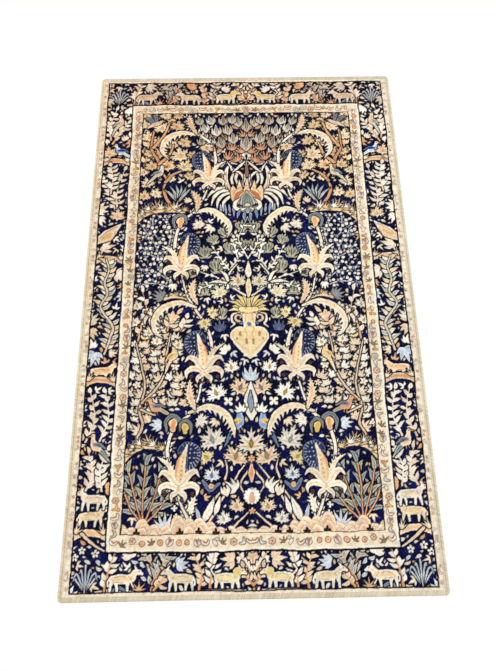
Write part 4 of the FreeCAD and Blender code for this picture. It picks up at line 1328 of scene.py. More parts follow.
def woven_picture(cartoon):
    """Both halves of the picture as hand knotting leaves them: outlines that wander and mottled dyes."""
    random = np.random.default_rng(11)
    colour = np.concatenate((cartoon.colour, cartoon.colour[:, ::-1]), axis=1)
    height = np.concatenate((cartoon.height, cartoon.height[:, ::-1]), axis=1)
    shape = height.shape

    # Outlines wander: each knot takes its colour from a little way off.
    row, column = (index.astype(float) for index in np.indices(shape))
    for pitch, reach in ((70, 2.4), (18, 1.1), (6, 0.7)):
        row += soft_noise(random, shape, pitch) * reach
        column += soft_noise(random, shape, pitch) * reach
    row = np.clip(row.round().astype(int), 0, shape[0] - 1)
    column = np.clip(column.round().astype(int), 0, shape[1] - 1)
    colour, height = colour[row, column], height[row, column]

    # Pale wool has browned and greyed unevenly.
    lightness = colour.mean(axis=-1)
    pale = np.clip((lightness - 0.35) / 0.35, 0, 1)
    up = np.linspace(-1, 1, shape[0])[:, None]
    across = np.linspace(-1, 1, shape[1])[None, :]
    fine = soft_noise(random, shape, 8) + 0.6 * soft_noise(random, shape, 22)
    browned = np.clip(0.02 + 0.15 * up - 0.14 * across + 0.24 * fine, 0, 1)
    greyed = np.clip(0.05 * across - 0.05 * up + 0.20 * soft_noise(random, shape, 11), 0, 1)
    colour = colour * (1 - (pale * browned)[..., None] * (0.20, 0.34, 0.46))
    colour = colour * (1 - (pale * greyed)[..., None] * (0.26, 0.20, 0.12))

    # The dark ground was dyed in uneven batches, and has pale flecks.
    ground = np.clip((0.3 - lightness) / 0.12, 0, 1)
    dipped = 0.74 - 0.16 * up + 0.30 * soft_noise(random, shape, 46) + 0.30 * soft_noise(random, shape, 9)
    colour = colour * (1 + ground * (np.clip(dipped, 0.25, 1.6) - 1))[..., None]
    flecks = ground * np.clip((soft_noise(random, shape, 4) - 0.62) / 0.2, 0, 1)
    colour = colour + flecks[..., None] * (0.20, 0.22, 0.26)

    # Painted light and shade: patches of the pile are a little lighter or darker, as pile that lies
    # differently catches the light differently.
    light = 1 + 0.05 * soft_noise(random, shape, 7)
    return colour * light[..., None], height


# ---------------------------------------------------------------------------------------------------
# The cloth pieces. Their places are worked out from the frame, in metres. across and up are the same
# millimetres as in the cartoon.
# ---------------------------------------------------------------------------------------------------

MM = 0.001
HANGING_MIDDLE_X = (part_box("binding_left")[0][0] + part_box("binding_right")[1][0]) / 2
HANGING_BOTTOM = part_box("binding_bottom")[0][2]
HANGING_MIDDLE_Z = HANGING_BOTTOM + HEIGHT * MM / 2
PILE_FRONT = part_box("picture_panel")[0][1]
LINING_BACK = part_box("lining")[1][1]
BINDING_FRONT, BINDING_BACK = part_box("binding_left")[0][1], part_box("binding_left")[1][1]
ROD_LOW, ROD_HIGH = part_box("hanging_rod")
ROD_Y = (ROD_LOW[1] + ROD_HIGH[1]) / 2
ROD_Z = (ROD_LOW[2] + ROD_HIGH[2]) / 2
ROD_RADIUS = (ROD_HIGH[2] - ROD_LOW[2]) / 2
PILE_HEIGHT = 0.45 * MM
CELL = 1.5  # millimetres from one vertex of the panel to the next
PANEL_SKIP = 6  # the panel's vertices start this far inside the cartoon's edge
CORNER_RADIUS = 12.0  # of the hanging's corners, in millimetres
WRAP_PITCH = 2.6  # millimetres from one turn of the binding yarn to the next
SIDES = ("top", "right", "bottom", "left")
SLEEVES = ("rod_sleeve_left", "rod_sleeve_middle", "rod_sleeve_right")


def sway(across, up):
    """How far the hung cloth stands out of its flat plane: soft waves that grow towards its free end."""
    fall = np.clip((HEIGHT - 60 - up) / HEIGHT, 0, 1)
    waves = 1.3 * np.sin(across / 78 + 0.7)
    waves = waves + 0.9 * np.sin(across / 41 + up / 310 + 2.0) + 0.5 * np.sin(up / 120 + across / 190)
    side = np.clip((np.abs(across) - 300) / 157, 0, 1)
    corner = side**2 * np.clip((260 - up) / 260, 0, 1) ** 2
    return -(waves * fall**1.2 + 3.5 * corner) * MM


def cloth_points(across, up, y):
    """Places on the hung cloth, y metres from the wall plane before it sways."""
    across, up, y = np.broadcast_arrays(*(np.asarray(values, float) for values in (across, up, y)))
    x = HANGING_MIDDLE_X + across * MM
    z = HANGING_BOTTOM + up * MM
    return np.stack((x, y + sway(across, up), z), axis=-1)


def add_object(name, data):
    """A new object in the scene."""
    obj = bpy.data.objects.new(name, data)
    bpy.context.collection.objects.link(obj)
    return obj


def mesh_object(name, points, faces):
    """An object of smooth quads, from flat arrays of points and of corner numbers."""
    mesh = bpy.data.meshes.new(name)
    mesh.vertices.add(len(points))
    mesh.vertices.foreach_set("co", np.asarray(points, np.float32).ravel())
    mesh.loops.add(faces.size)
    mesh.loops.foreach_set("vertex_index", faces.astype(np.int32).ravel())
    mesh.polygons.add(len(faces))
    mesh.polygons.foreach_set("loop_start", np.arange(0, faces.size, faces.shape[1], dtype=np.int32))
    mesh.polygons.foreach_set("use_smooth", np.ones(len(faces), bool))
    mesh.update(calc_edges=True)
    mesh.validate()
    return add_object(name, mesh)


def grid_faces(rows, columns, wrap_columns=False, wrap_rows=False):
    """The quads of a rows by columns grid of points, which may close on itself."""
    index = np.arange(rows * columns).reshape(rows, columns)
    if wrap_columns:
        index = np.hstack((index, index[:, :1]))
    if wrap_rows:
        index = np.vstack((index, index[:1]))
    return np.stack((index[:-1, :-1], index[:-1, 1:], index[1:, 1:], index[1:, :-1]), axis=-1).reshape(-1, 4)


def paint_vertices(obj, colours):
    """Gives each vertex a colour, stated as it looks on a screen, for the materials to read."""
    dark = 0.04045  # below this the screen's curve is a straight line
    bright = ((np.maximum(colours, dark) + 0.055) / 1.055) ** 2.4
    linear = np.where(colours <= dark, colours / 12.92, bright)
    with_alpha = np.hstack((linear, np.ones((len(linear), 1))))
    attribute = obj.data.color_attributes.new("Dye", "FLOAT_COLOR", "POINT")
    attribute.data.foreach_set("color", with_alpha.astype(np.float32).ravel())


def hang(obj, slot, material, *nodes):
    """Dresses a cloth piece with its material, hides the CAD parts it stands for and fixes its transform into
    its mesh.
    """
    obj.data.materials.append(material)
    if nodes:
        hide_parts(*nodes)
    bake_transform(obj)
    return obj


def woven_colours(cartoon):
    """The whole picture's colours and pile heights at the panel's vertices."""
    colour, height = woven_picture(cartoon)
    per_cell = int(CELL / CARTOON_STEP)
    skip = per_cell * int(PANEL_SKIP / CELL)

    def shifted(values, i, j):
        """The values without the edge that the vertices skip, moved down by i and left by j."""
        rows, columns = values.shape[:2]
        return values[skip - i : rows - skip + 1 - i, skip - j : columns - skip + 1 - j]

    def at_vertices(values):
        """Each vertex has the mean of the four small squares that meet at it."""
        corners = sum(shifted(values, i, j) for i in (0, 1) for j in (0, 1)) / 4
        return corners[::per_cell, ::per_cell]

    return at_vertices(colour), at_vertices(height)


def make_panel(cartoon, material):
    """The woven picture: a fine grid of knots whose pile stands a little higher in the motifs."""
    colour, height = woven_colours(cartoon)
    rows, columns = height.shape
    across = (np.arange(columns) - (columns - 1) / 2) * CELL
    up = PANEL_SKIP + np.arange(rows) * CELL
    across, up = np.meshgrid(across, up)
    random = np.random.default_rng(11)
    colour = colour * (1 + random.normal(0, 0.03, height.shape))[..., None]
    colour = colour * (1 + random.normal(0, 0.012, (rows, 1)))[..., None]
    points = cloth_points(across, up, PILE_FRONT - height * PILE_HEIGHT)
    panel = mesh_object("woven_picture", points.reshape(-1, 3), grid_faces(rows, columns))
    paint_vertices(panel, np.clip(colour.reshape(-1, 3), 0, 1))
    hang(panel, "woven_pile", material, "picture_panel")


# How the path along the top is turned into the path along each side.
SIDE_TURNS = {
    "top": ((1, 0), (0, 1)),
    "bottom": ((-1, 0), (0, -1)),
    "right": ((0, -1), (1, 0)),
    "left": ((0, 1), (-1, 0)),
}
# The yarn's tan, with painted shade that differs by side for how the light falls on it: the top side is
# darkest.
BINDING_TAN_WITH_PAINTED_SHADE = {
    "top": dye(208, 192, 163),
    "bottom": dye(216, 201, 170),
    "right": dye(224, 209, 178),
    "left": dye(226, 208, 174),
}
# The roll's front, as its distance in from the edge and its rise over the pile. The sides have a groove.
BINDING_PROFILE_SIDE = (
    (12.0, -0.1), (11.6, 0.55), (10.4, 0.95), (9.0, 1.1), (7.7, 0.7),
    (7.0, 0.25), (6.3, 0.6), (5.0, 1.15), (3.4, 1.1), (1.8, 0.6),
)
BINDING_PROFILE_END = (
    (12.0, -0.1), (11.7, 0.5), (10.6, 0.85), (9.0, 0.95), (7.0, 0.95),
    (5.0, 0.95), (3.4, 0.8), (2.2, 0.5), (1.2, 0.0), (0.8, -0.4),
)
GROOVE_INSET, GROOVE_REACH = 7.0, 0.7  # where the side's groove lies, and how wide its shade is
GROOVE_BACK_Y = -0.022  # only the part of the roll in front of this has the groove


def binding_section(ridged):
    """The roll's section, from its seam on the front round the edge to its seam on the back: inset and y."""
    profile = BINDING_PROFILE_SIDE if ridged else BINDING_PROFILE_END
    front = [(inset, PILE_FRONT - rise * MM) for inset, rise in profile]
    half = (BINDING_BACK - BINDING_FRONT) / 2
    middle = (BINDING_BACK + BINDING_FRONT) / 2
    roll = []
    for angle in np.linspace(-52, 60, 8):
        turn = math.radians(angle)
        roll.append((3.1 - 3.1 * math.cos(turn), middle + half * math.sin(turn)))
    back = [(3.6, BINDING_BACK), (6.0, BINDING_BACK + 0.05 * MM), (9.0, BINDING_BACK)]
    back += [(11.4, BINDING_BACK - 0.2 * MM), (12.0, LINING_BACK + 0.1 * MM)]
    return np.array(front + roll + back)


def edge_path(side):
    """Points along one side at its outer edge, from mitre to mitre, with the inward direction at each."""
    half_height = HEIGHT / 2
    upright = side in ("left", "right")
    length, other = (half_height, HALF_WIDTH) if upright else (HALF_WIDTH, half_height)
    radius, step = CORNER_RADIUS, 0.6
    straight = np.arange(-(length - radius), length - radius + step / 2, step)
    turns = np.radians(np.linspace(45, 0, 16, endpoint=False))
    ahead, away = [], []
    for sign in (-1, 1):
        arc = turns if sign < 0 else turns[::-1]
        centre = sign * (length - radius)
        arc_along, arc_out = centre + sign * radius * np.sin(arc), other - radius + radius * np.cos(arc)
        ahead.append(np.stack((arc_along, arc_out), axis=-1))
        away.append(np.stack((sign * np.sin(arc), np.cos(arc)), axis=-1))
    line_points = np.stack((straight, np.full_like(straight, other)), axis=-1)
    line_out = np.stack((np.zeros_like(straight), np.ones_like(straight)), axis=-1)
    points = np.vstack((ahead[0], line_points, ahead[1]))
    outward = np.vstack((away[0], line_out, away[1]))
    turn = np.array(SIDE_TURNS[side], float)
    return points @ turn + (0, half_height), outward @ turn


def make_binding(side, material):
    """One side's binding: yarn overcast round the corded edge, so that fine ribs cross the roll."""
    ridged = side in ("left", "right")
    section = binding_section(ridged)
    path, outward = edge_path(side)

    # The yarn's turns slant across the roll, and each one is a little thicker or thinner.
    steps = np.hypot(*np.diff(path, axis=0, prepend=path[:1]).T)
    run = np.cumsum(steps)
    slant = 0.35 * section[:, 0]
    turns = (run[:, None] + slant[None, :]) / WRAP_PITCH
    wrap = np.abs(np.sin(math.pi * turns)) ** 0.6
    random = np.random.default_rng(len(side))
    wrap_number = np.floor(turns).astype(int)
    per_wrap = random.normal(0, 1, wrap_number.max() + 2)

    # The section is swept along the edge and lifted by the yarn.
    normal = section_normals(section)
    lift = (0.30 * (wrap - 0.7) + 0.05 * per_wrap[wrap_number]) * MM
    inset = section[None, :, 0] - normal[None, :, 0] * lift / MM
    place = path[:, None, :] - outward[:, None, :] * inset[..., None]
    y = section[None, :, 1] + normal[None, :, 1] * lift
    points = cloth_points(place[..., 0], place[..., 1], y)
    rows, columns = points.shape[:2]
    binding = mesh_object(f"{side}_binding_roll", points.reshape(-1, 3), grid_faces(rows, columns))

    # Painted shade lies between the turns and in the groove on the front, and each turn's own tone differs a
    # little.
    shade = 0.84 + 0.16 * wrap + 0.035 * per_wrap[wrap_number]
    if ridged:
        off_groove = (section[None, :, 0] - GROOVE_INSET) / GROOVE_REACH
        on_front = section[None, :, 1] < GROOVE_BACK_Y
        shade = shade * (1 - 0.30 * np.exp(-(off_groove**2)) * on_front)
    # Each side's tan already carries that side's painted shade.
    colour = np.broadcast_to(BINDING_TAN_WITH_PAINTED_SHADE[side], (rows, columns, 3)) * shade[..., None]
    paint_vertices(binding, np.clip(colour.reshape(-1, 3), 0, 1))
    hang(binding, "binding_tape", material, f"binding_{side}")


def section_normals(section):
    """Unit normals of the roll's section that point out of it: towards the edge and away from the cloth."""
    flat = section * (1, 1000)
    along = np.gradient(flat, axis=0)
    along = along / np.hypot(along[:, 0], along[:, 1])[:, None]
    return np.stack((along[:, 1], -along[:, 0]), axis=-1) * (-1, -1)


def make_edge_cord(material):
    """The twisted filler cord inside the binding, one closed loop."""
    inset, radius, strands = 3.2, 1.9, 3
    rings = []
    for side in SIDES:
        path, outward = edge_path(side)
        rings.append(np.hstack((path - outward * inset, outward))[::6])
    ring = np.vstack(rings)
    angles = np.linspace(0, 2 * math.pi, 10, endpoint=False)
    twist = np.arange(len(ring))[:, None] * 0.5
    reach = radius * (1 + 0.1 * np.cos(strands * (angles[None, :] + twist)))
    place = ring[:, None, :2] + ring[:, None, 2:] * (reach * np.cos(angles))[..., None]
    middle = (PILE_FRONT + LINING_BACK) / 2
    points = cloth_points(place[..., 0], place[..., 1], middle + reach * np.sin(angles) * MM)
    faces = grid_faces(len(ring), len(angles), wrap_columns=True, wrap_rows=True)
    cord = mesh_object("edge_filler_cord", points.reshape(-1, 3), faces)
    hang(cord, "cotton_cord", material, "edge_cord")


def stitch_mesh(name, starts, ends, width, arch):
    """Short round threads that rise a little out of the cloth between their two ends. Rows of x, y, z."""
    starts, ends = np.asarray(starts), np.asarray(ends)
    stations, corners = 7, 6
    t = np.linspace(0, 1, stations)

    # Each thread's middle line, and the two directions square to it.
    centre = starts[:, None, :] + (ends - starts)[:, None, :] * t[None, :, None]
    bulge = np.sin(math.pi * t)
    centre = centre + arch[:, None, :] * bulge[None, :, None]
    along = ends - starts
    along = along / np.linalg.norm(along, axis=1)[:, None]
    out = arch / np.linalg.norm(arch, axis=1)[:, None]
    across = np.cross(along, out)

    # A ring of corners round the line at each station, thinner where the thread enters the cloth.
    angles = np.linspace(0, 2 * math.pi, corners, endpoint=False)
    radius = width / 2 * (0.35 + 0.65 * np.sin(math.pi * np.clip(t, 0.04, 0.96)) ** 0.5)
    ring = across[:, None, :] * np.cos(angles)[None, :, None]
    ring = ring + out[:, None, :] * np.sin(angles)[None, :, None]
    points = centre[:, :, None, :] + ring[:, None, :, :] * radius[None, :, None, None]
    count = len(starts)
    faces = grid_faces(stations, corners, wrap_columns=True)
    offsets = np.arange(count) * stations * corners
    faces = (faces[None, :, :] + offsets[:, None, None]).reshape(-1, 4)
    return mesh_object(name, points.reshape(-1, 3), faces)


def make_seam_stitches(material):
    """The slanting stitches that hold the binding to the front of the picture."""
    starts, ends = [], []
    for side in SIDES:
        path, outward = edge_path(side)
        for i in range(20, len(path) - 20, 9):
            along = np.array((outward[i][1], -outward[i][0]))
            starts.append(path[i] - outward[i] * 13.4 - along * 0.8)
            ends.append(path[i] - outward[i] * 10.6 + along * 0.8)
    starts, ends = np.array(starts), np.array(ends)
    first = cloth_points(starts[:, 0], starts[:, 1], PILE_FRONT - 0.3 * MM)
    last = cloth_points(ends[:, 0], ends[:, 1], PILE_FRONT - 0.9 * MM)
    arch = np.tile((0, -0.5 * MM, 0), (len(first), 1))
    stitches = stitch_mesh("binding_seam_stitches", first, last, 1.1 * MM, arch)
    hang(stitches, "sewing_thread", material)


def make_lining(material):
    """The cotton lining, with the slight puckers that a hand-sewn lining has."""
    half_width, low, high, pitch = 450, 6, 1518, 4.5
    across = np.arange(-half_width, half_width + 0.1, pitch)
    across, up = np.meshgrid(across, np.arange(low, high + 0.1, pitch))
    near_side = np.exp(-(((half_width - np.abs(across)) / 26) ** 2))
    near_bottom = np.exp(-(((up - low) / 30) ** 2))
    pucker = 0.18 * np.sin(up / 17 + 2 * np.sin(across / 90)) * near_side
    pucker = pucker + 0.18 * np.sin(across / 19 + 1.5 * np.sin(up / 80)) * near_bottom
    pucker = pucker + 0.10 * np.sin(across / 61 + up / 97) + 0.08 * np.sin(up / 43 - across / 88)
    points = cloth_points(across, up, LINING_BACK - 0.15 * MM + pucker * MM)
    rows, columns = across.shape
    lining = mesh_object("cotton_lining", points.reshape(-1, 3), grid_faces(rows, columns)[:, ::-1])
    hang(lining, "lining_cotton", material, "lining")


def sleeve_section():
    """The strip's middle line, from the upper hem round the back of the tube to the lower hem: y and z."""
    high_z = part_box("rod_sleeve_middle")[1][2]
    wall = 0.8 * MM
    flat_y = LINING_BACK + wall / 2
    reach = ROD_RADIUS + 0.08 * MM + wall / 2
    points = [(flat_y, high_z), (flat_y, ROD_Z + 12 * MM), (flat_y + 0.1 * MM, ROD_Z + 8.6 * MM)]
    points += [(flat_y + 1.2 * MM, ROD_Z + 7.2 * MM), (ROD_Y - 3.5 * MM, ROD_Z + reach + 0.1 * MM)]
    for angle in np.linspace(90, -90, 13):
        turn = math.radians(angle)
        points.append((ROD_Y + reach * math.cos(turn), ROD_Z + reach * math.sin(turn)))
    points += [(y, 2 * ROD_Z - z) for y, z in points[4::-1]]
    return np.array(points), wall


def sleeve_end_faces(rows, columns):
    """Quads over the two cut ends of a swept strip, between its outer and its inner side."""
    faces = []
    for row, flip in ((0, False), (rows - 1, True)):
        base = row * columns
        for i in range(columns // 2 - 1):
            quad = [base + i, base + i + 1, base + columns - 2 - i, base + columns - 1 - i]
            faces.append(quad if flip else quad[::-1])
    return np.array(faces)


def make_sleeve(name, material, seed):
    """One sleeve: a strip of cotton sewn along its two hems, which holds the tube against the lining."""
    low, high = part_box(name)

    # The two sides of the strip, as one closed section.
    section, wall = sleeve_section()
    dense = smooth(section, 64)
    along = np.gradient(dense, axis=0)
    along = along / np.hypot(along[:, 0], along[:, 1])[:, None]
    normal = np.stack((-along[:, 1], along[:, 0]), axis=-1)
    outer = dense + normal * wall / 2
    inner = dense - normal * wall / 2
    loop = np.vstack((outer, inner[::-1]))

    # The cotton ripples along the tube, and lies flat where it is sewn.
    xs = np.linspace(low[0], high[0], 61)
    random = np.random.default_rng(seed)
    place = (xs - xs[0]) / (xs[-1] - xs[0])
    ripple = 0
    for count in (3, 7, 12, 19):
        ripple = ripple + random.uniform(0.04, 0.12) * np.sin(place * count * math.pi + random.uniform(0, 6))
    ripple = ripple * MM
    slack = np.clip((loop[:, 0] - LINING_BACK - 2 * MM) / (6 * MM), 0, 1)
    y = loop[None, :, 0] + np.maximum(ripple, -0.05 * MM)[:, None] * slack[None, :]
    z = np.broadcast_to(loop[None, :, 1], y.shape)
    x = np.broadcast_to(xs[:, None], y.shape)
    points = np.stack((x, y, z), axis=-1)
    rows, columns = y.shape
    tube_faces = grid_faces(rows, columns, wrap_columns=True)
    faces = np.vstack((tube_faces, sleeve_end_faces(rows, columns)))
    sleeve = mesh_object(name.replace("rod_sleeve", "sewn_sleeve"), points.reshape(-1, 3), faces)
    hang(sleeve, "sleeve_cotton", material, name)


def make_sleeve_stitches(material):
    """The running stitches along the sleeves' hems."""
    low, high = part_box("sleeve_stitches")
    hem = (high[2] - low[2]) / 2 - 0.4 * MM
    starts, ends = [], []
    for name in SLEEVES:
        left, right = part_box(name)[0][0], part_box(name)[1][0]
        for x in np.arange(left + 8 * MM, right - 8 * MM, 9 * MM):
            for z in (ROD_Z - hem, ROD_Z + hem):
                starts.append((x, LINING_BACK + 0.75 * MM, z))
                ends.append((x + 5.4 * MM, LINING_BACK + 0.75 * MM, z + 0.2 * MM))
    arch = np.tile((0, 0.35 * MM, 0), (len(starts), 1))
    stitches = stitch_mesh("sleeve_hem_stitches", starts, ends, 0.8 * MM, arch)
    hang(stitches, "sewing_thread", material, "sleeve_stitches")


# ---------------------------------------------------------------------------------------------------
# Materials
# ---------------------------------------------------------------------------------------------------


class Shader:
    """A small helper round one material's node tree."""

    def __init__(self, name, **sockets):
        self.material = bpy.data.materials.new(name)
        self.material.use_nodes = True
        self.tree = self.material.node_tree
        self.surface = self.tree.nodes["Principled BSDF"]
        self.set(self.surface, sockets)

    def set(self, node, sockets):
        """Links or sets inputs by name. i0, i1 and so on stand for inputs by number."""
        for name, value in sockets.items():
            by_number = name[0] == "i" and name[1:].isdigit()
            socket = node.inputs[int(name[1:]) if by_number else name.replace("_", " ")]
            if isinstance(value, bpy.types.NodeSocket):
                self.tree.links.new(value, socket)
            else:
                socket.default_value = value

    def finish(self, **sockets):
        """Links the finished values to the surface, and returns the material."""
        self.set(self.surface, sockets)
        return self.material

    def node(self, kind, settings=None, **sockets):
        """Adds a node."""
        made = self.tree.nodes.new(f"ShaderNode{kind}")
        for key, value in (settings or {}).items():
            setattr(made, key, value)
        self.set(made, sockets)
        return made

    def math(self, operation, first, second=0.0):
        """A sum on one or two values."""
        return self.node("Math", {"operation": operation}, i0=first, i1=second).outputs[0]

    def noise(self, scale, detail=2.0, stretch=(1, 1, 1)):
        """Soft noise fixed to the object, finer along an axis that is stretched more."""
        place = self.node("Mapping", Vector=self.node("TexCoord").outputs["Object"], Scale=stretch)
        return self.node("TexNoise", Vector=place.outputs[0], Scale=scale, Detail=detail).outputs["Fac"]

    def ramp(self, factor, *stops):
        """A colour ramp. Each stop is a place and a grey level or a colour."""
        ramp = self.node("ValToRGB", Fac=factor)
        elements = ramp.color_ramp.elements
        while len(elements) < len(stops):
            elements.new(0.5)
        for element, (place, colour) in zip(elements, stops):
            element.position = place
            element.color = (*colour, 1) if hasattr(colour, "__len__") else (colour, colour, colour, 1)
        return ramp.outputs[0]

    def mix(self, factor, first, second, blend="MIX"):
        """Two colours mixed."""
        made = self.node("Mix", {"data_type": "RGBA", "blend_type": blend}, i0=factor, i6=first, i7=second)
        return made.outputs[2]

    def bump(self, height, distance, strength=1.0, under=None):
        """A normal that shows the height, on top of the one under it if there is one."""
        sockets = {"Height": height, "Distance": distance, "Strength": strength}
        if under is not None:
            sockets["Normal"] = under
        return self.node("Bump", **sockets).outputs[0]

    def weave(self, pitch_x, pitch_z):
        """The height of a plain weave: threads that pass over and under each other."""
        place = self.node("SeparateXYZ", Vector=self.node("TexCoord").outputs["Object"])
        wobble = self.math("MULTIPLY", self.noise(60, 1), 1.2)
        across = self.math("ADD", self.math("MULTIPLY", place.outputs[0], math.pi / pitch_x), wobble)
        up = self.math("ADD", self.math("MULTIPLY", place.outputs[2], math.pi / pitch_z), wobble)
        return self.math("MULTIPLY", self.math("SINE", across), self.math("SINE", up))


def sheen(weight, roughness):
    """The two sockets of the soft light that loose fibres catch."""
    return {"Sheen_Weight": weight, "Sheen_Roughness": roughness}


def pile_material():
    """Cut wool pile: rows of knots, slightly uneven dye, and a soft sheen."""
    wool = Shader("woven_wool_pile", Roughness=0.92, Specular_IOR_Level=0.04, **sheen(0.03, 0.45))
    dyed = wool.node("VertexColor", {"layer_name": "Dye"}).outputs["Color"]
    knots = wool.noise(420, 2, (1, 1, 1.5))
    patches = wool.noise(7, 3)
    colour = wool.mix(0.9, dyed, wool.ramp(knots, (0.25, 0.78), (0.75, 1.0)), "MULTIPLY")
    colour = wool.mix(1.0, colour, wool.ramp(patches, (0.3, 0.93), (0.7, 1.0)), "MULTIPLY")
    height = wool.math("ADD", wool.math("MULTIPLY", wool.weave(1.5 * MM, 1.3 * MM), 0.35), knots)
    return wool.finish(Base_Color=colour, Normal=wool.bump(height, 0.0005, 0.6))


def binding_material():
    """Tan yarn wrapped round the edge, fibrous across the ribs."""
    yarn = Shader("overcast_binding_yarn", Roughness=0.8, Specular_IOR_Level=0.25, **sheen(0.3, 0.4))
    dyed = yarn.node("VertexColor", {"layer_name": "Dye"}).outputs["Color"]
    fibres = yarn.noise(900, 2)
    worn = yarn.noise(22, 3)
    colour = yarn.mix(1.0, dyed, yarn.ramp(fibres, (0.3, 0.8), (0.7, 1.0)), "MULTIPLY")
    colour = yarn.mix(yarn.ramp(worn, (0.45, 0.0), (0.75, 0.35)), colour, (0.83, 0.78, 0.66, 1))
    return yarn.finish(Base_Color=colour, Normal=yarn.bump(fibres, 0.0003, 0.6))


def cotton_material(name, colour, pitch):
    """Plain-woven cotton, with slubs, faint marks and painted shade in the hollows of the weave."""
    cotton = Shader(name, Roughness=0.86, Specular_IOR_Level=0.2, **sheen(0.12, 0.5))
    threads = cotton.weave(pitch, pitch)
    slubs = cotton.noise(160, 2, (1, 1, 9))
    marks = cotton.noise(5, 4)
    slub_shade = cotton.ramp(slubs, (0.3, 0.86), (0.7, 1.0))
    shade = cotton.mix(1.0, slub_shade, cotton.ramp(marks, (0.3, 0.9), (0.7, 1.0)), "MULTIPLY")
    dyed = cotton.mix(1.0, (*colour, 1), shade, "MULTIPLY")
    # Painted shade: the cotton is darker where its threads dip, in the hollows of the weave.
    deep = cotton.math("ADD", cotton.math("MULTIPLY", threads, 0.5), 0.5)
    dyed = cotton.mix(1.0, dyed, cotton.ramp(deep, (0.0, 0.86), (1.0, 1.0)), "MULTIPLY")
    height = cotton.math("ADD", threads, slubs)
    return cotton.finish(Base_Color=dyed, Normal=cotton.bump(height, 0.00025, 0.7))


def thread_material():
    """Twisted linen thread."""
    thread = Shader("twisted_linen_thread", Roughness=0.7, Sheen_Weight=0.2, Specular_IOR_Level=0.3)
    plies = thread.noise(1500, 1)
    colour = thread.mix(plies, (0.52, 0.44, 0.30, 1), (0.86, 0.80, 0.66, 1))
    return thread.finish(Base_Color=colour, Normal=thread.bump(plies, 0.0002, 0.5))


def steel_material():
    """Drawn steel tube: fine lines along it and a few dull patches."""
    steel = Shader("drawn_steel", Metallic=1.0)
    lines = steel.noise(30, 4, (1, 60, 60))
    dull = steel.noise(26, 3)
    roughness = steel.ramp(dull, (0.3, 0.24), (0.75, 0.42))
    colour = steel.mix(lines, (0.50, 0.50, 0.51, 1), (0.68, 0.68, 0.69, 1))
    normal = steel.bump(lines, 0.0001, 0.35)
    return steel.finish(Base_Color=colour, Roughness=roughness, Normal=normal)


def plastic_material():
    """Moulded black plastic with a fine grain."""
    plastic = Shader("moulded_cap_plastic", Specular_IOR_Level=0.45)
    grain = plastic.noise(1400, 2)
    colour = plastic.mix(grain, (0.018, 0.018, 0.02, 1), (0.05, 0.05, 0.054, 1))
    roughness = plastic.ramp(grain, (0.2, 0.42), (0.8, 0.6))
    normal = plastic.bump(grain, 0.0001, 0.4)
    return plastic.finish(Base_Color=colour, Roughness=roughness, Normal=normal)


def paint_material():
    """Off-white powder coat on steel, with its orange-peel surface and slightly dirty patches."""
    paint = Shader("bracket_powder_coat", Coat_Weight=0.15, Coat_Roughness=0.3)
    peel = paint.noise(700, 2)
    dirt = paint.noise(60, 4)
    soiled = paint.ramp(dirt, (0.45, 0.0), (0.8, 0.6))
    colour = paint.mix(soiled, (0.74, 0.73, 0.70, 1), (0.60, 0.58, 0.53, 1))
    roughness = paint.ramp(dirt, (0.3, 0.36), (0.8, 0.55))
    normal = paint.bump(peel, 0.0002, 0.3)
    return paint.finish(Base_Color=colour, Roughness=roughness, Normal=normal)


def dress_hardware():
    """The CAD pieces keep their shapes and get their finished materials."""
    finishes = {
        steel_material(): ("hanging_rod",),
        plastic_material(): ("rod_end_cap_left", "rod_end_cap_right"),
        paint_material(): ("wall_bracket_left", "wall_bracket_right"),
    }
    for material, nodes in finishes.items():
        for node in nodes:
            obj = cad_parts[node]
            for slot in obj.material_slots:
                slot.material = material


# ---------------------------------------------------------------------------------------------------
# Stage, light and camera
# ---------------------------------------------------------------------------------------------------


FLOOR_DROP = 0.42  # from the hanging's foot down to the floor
FLOOR_REACH = 9.0
# Each light's place, width, energy and colour.
LIGHTS = {
    "key_light": ((-1.9, -2.1, 0.9), 1.4, 27, (1.0, 0.98, 0.95)),
    "fill_light": ((2.2, -1.9, -0.4), 1.8, 16, (0.94, 0.97, 1.0)),
    "back_light": ((0.6, 2.2, 0.8), 1.6, 20, (1.0, 1.0, 1.0)),
}
CAMERA_FROM_MIDDLE = (-0.011, -1.463, -0.624)  # metres from the middle of the hanging's front
CAMERA_TURN = (109.27, 1.0, -0.27)  # degrees about x, y and z
CAMERA_SENSOR = 36  # millimetres across
CAMERA_LENS = 30.85


def white_glow(name, strength):
    """A material that shines evenly white."""
    material = bpy.data.materials.new(name)
    material.use_nodes = True
    tree = material.node_tree
    tree.nodes.clear()
    glow = tree.nodes.new("ShaderNodeEmission")
    glow.inputs["Strength"].default_value = strength
    output = tree.nodes.new("ShaderNodeOutputMaterial")
    tree.links.new(glow.outputs[0], output.inputs["Surface"])
    return material


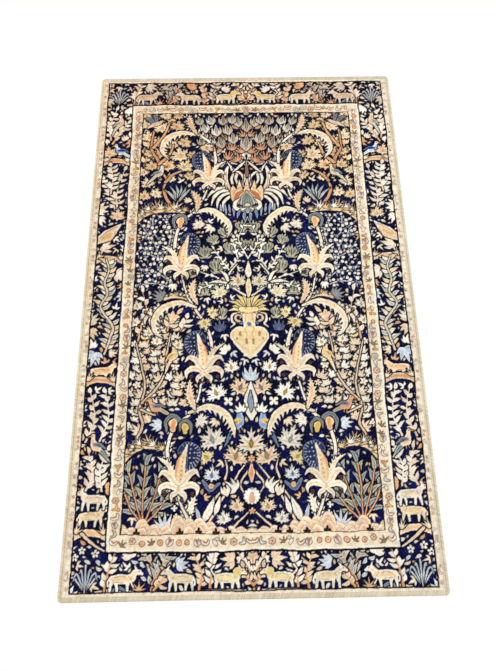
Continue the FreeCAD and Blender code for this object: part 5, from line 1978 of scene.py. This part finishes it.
def make_stage():
    """A plain white floor well below the hanging, and a white surround."""
    height = HANGING_BOTTOM - FLOOR_DROP
    corners = [(x * FLOOR_REACH, y * FLOOR_REACH, height) for x, y in ((-1, -1), (1, -1), (1, 1), (-1, 1))]
    floor = mesh_object("studio_floor", np.array(corners), np.array([[0, 1, 2, 3]]))
    floor.data.materials.append(white_glow("studio_floor_white", 1.0))
    world = bpy.data.worlds.new("studio_surround")
    bpy.context.scene.world = world
    world.use_nodes = True
    background = world.node_tree.nodes["Background"]
    background.inputs["Color"].default_value = (1, 1, 1, 1)
    background.inputs["Strength"].default_value = 1.0


def add_area_light(name, place, target, size, energy, colour):
    """A round soft light that looks at its target."""
    light = bpy.data.lights.new(name, "AREA")
    light.shape = "DISK"
    light.size = size
    light.energy = energy
    light.color = colour
    lamp = add_object(name, light)
    lamp.location = place
    lamp.rotation_euler = (Vector(target) - Vector(place)).to_track_quat("-Z", "Y").to_euler()


def make_lights():
    """A soft key light from the upper left, a fill from the right and a light on the back."""
    centre = (HANGING_MIDDLE_X, PILE_FRONT, HANGING_MIDDLE_Z)
    for name, (place, size, energy, colour) in LIGHTS.items():
        add_area_light(name, place, centre, size, energy, colour)


def make_camera():
    """The main view: from below the middle, looking up at the hanging."""
    camera = add_object("camera", bpy.data.cameras.new("camera"))
    front_middle = Vector((HANGING_MIDDLE_X, BINDING_FRONT, HANGING_MIDDLE_Z))
    camera.location = front_middle + Vector(CAMERA_FROM_MIDDLE)
    camera.rotation_euler = Euler([math.radians(angle) for angle in CAMERA_TURN])
    camera.data.sensor_width = CAMERA_SENSOR
    camera.data.lens = CAMERA_LENS
    bpy.context.scene.camera = camera


def main():
    """Builds the pieces, then the stage round them."""
    bpy.context.scene.view_settings.view_transform = "Standard"
    make_camera()
    make_stage()
    make_lights()
    cotton = cotton_material("lining_plain_weave", (0.62, 0.56, 0.44), 0.9 * MM)
    sleeve_cotton = cotton_material("sleeve_plain_weave", (0.68, 0.62, 0.50), 0.7 * MM)
    thread = thread_material()
    make_panel(draw_cartoon(), pile_material())
    yarn = binding_material()
    for side in ("left", "right", "top", "bottom"):
        make_binding(side, yarn)
    make_edge_cord(cotton)
    make_seam_stitches(thread)
    make_lining(cotton)
    for seed, node in enumerate(SLEEVES):
        make_sleeve(node, sleeve_cotton, seed)
    make_sleeve_stitches(thread)
    dress_hardware()


main()
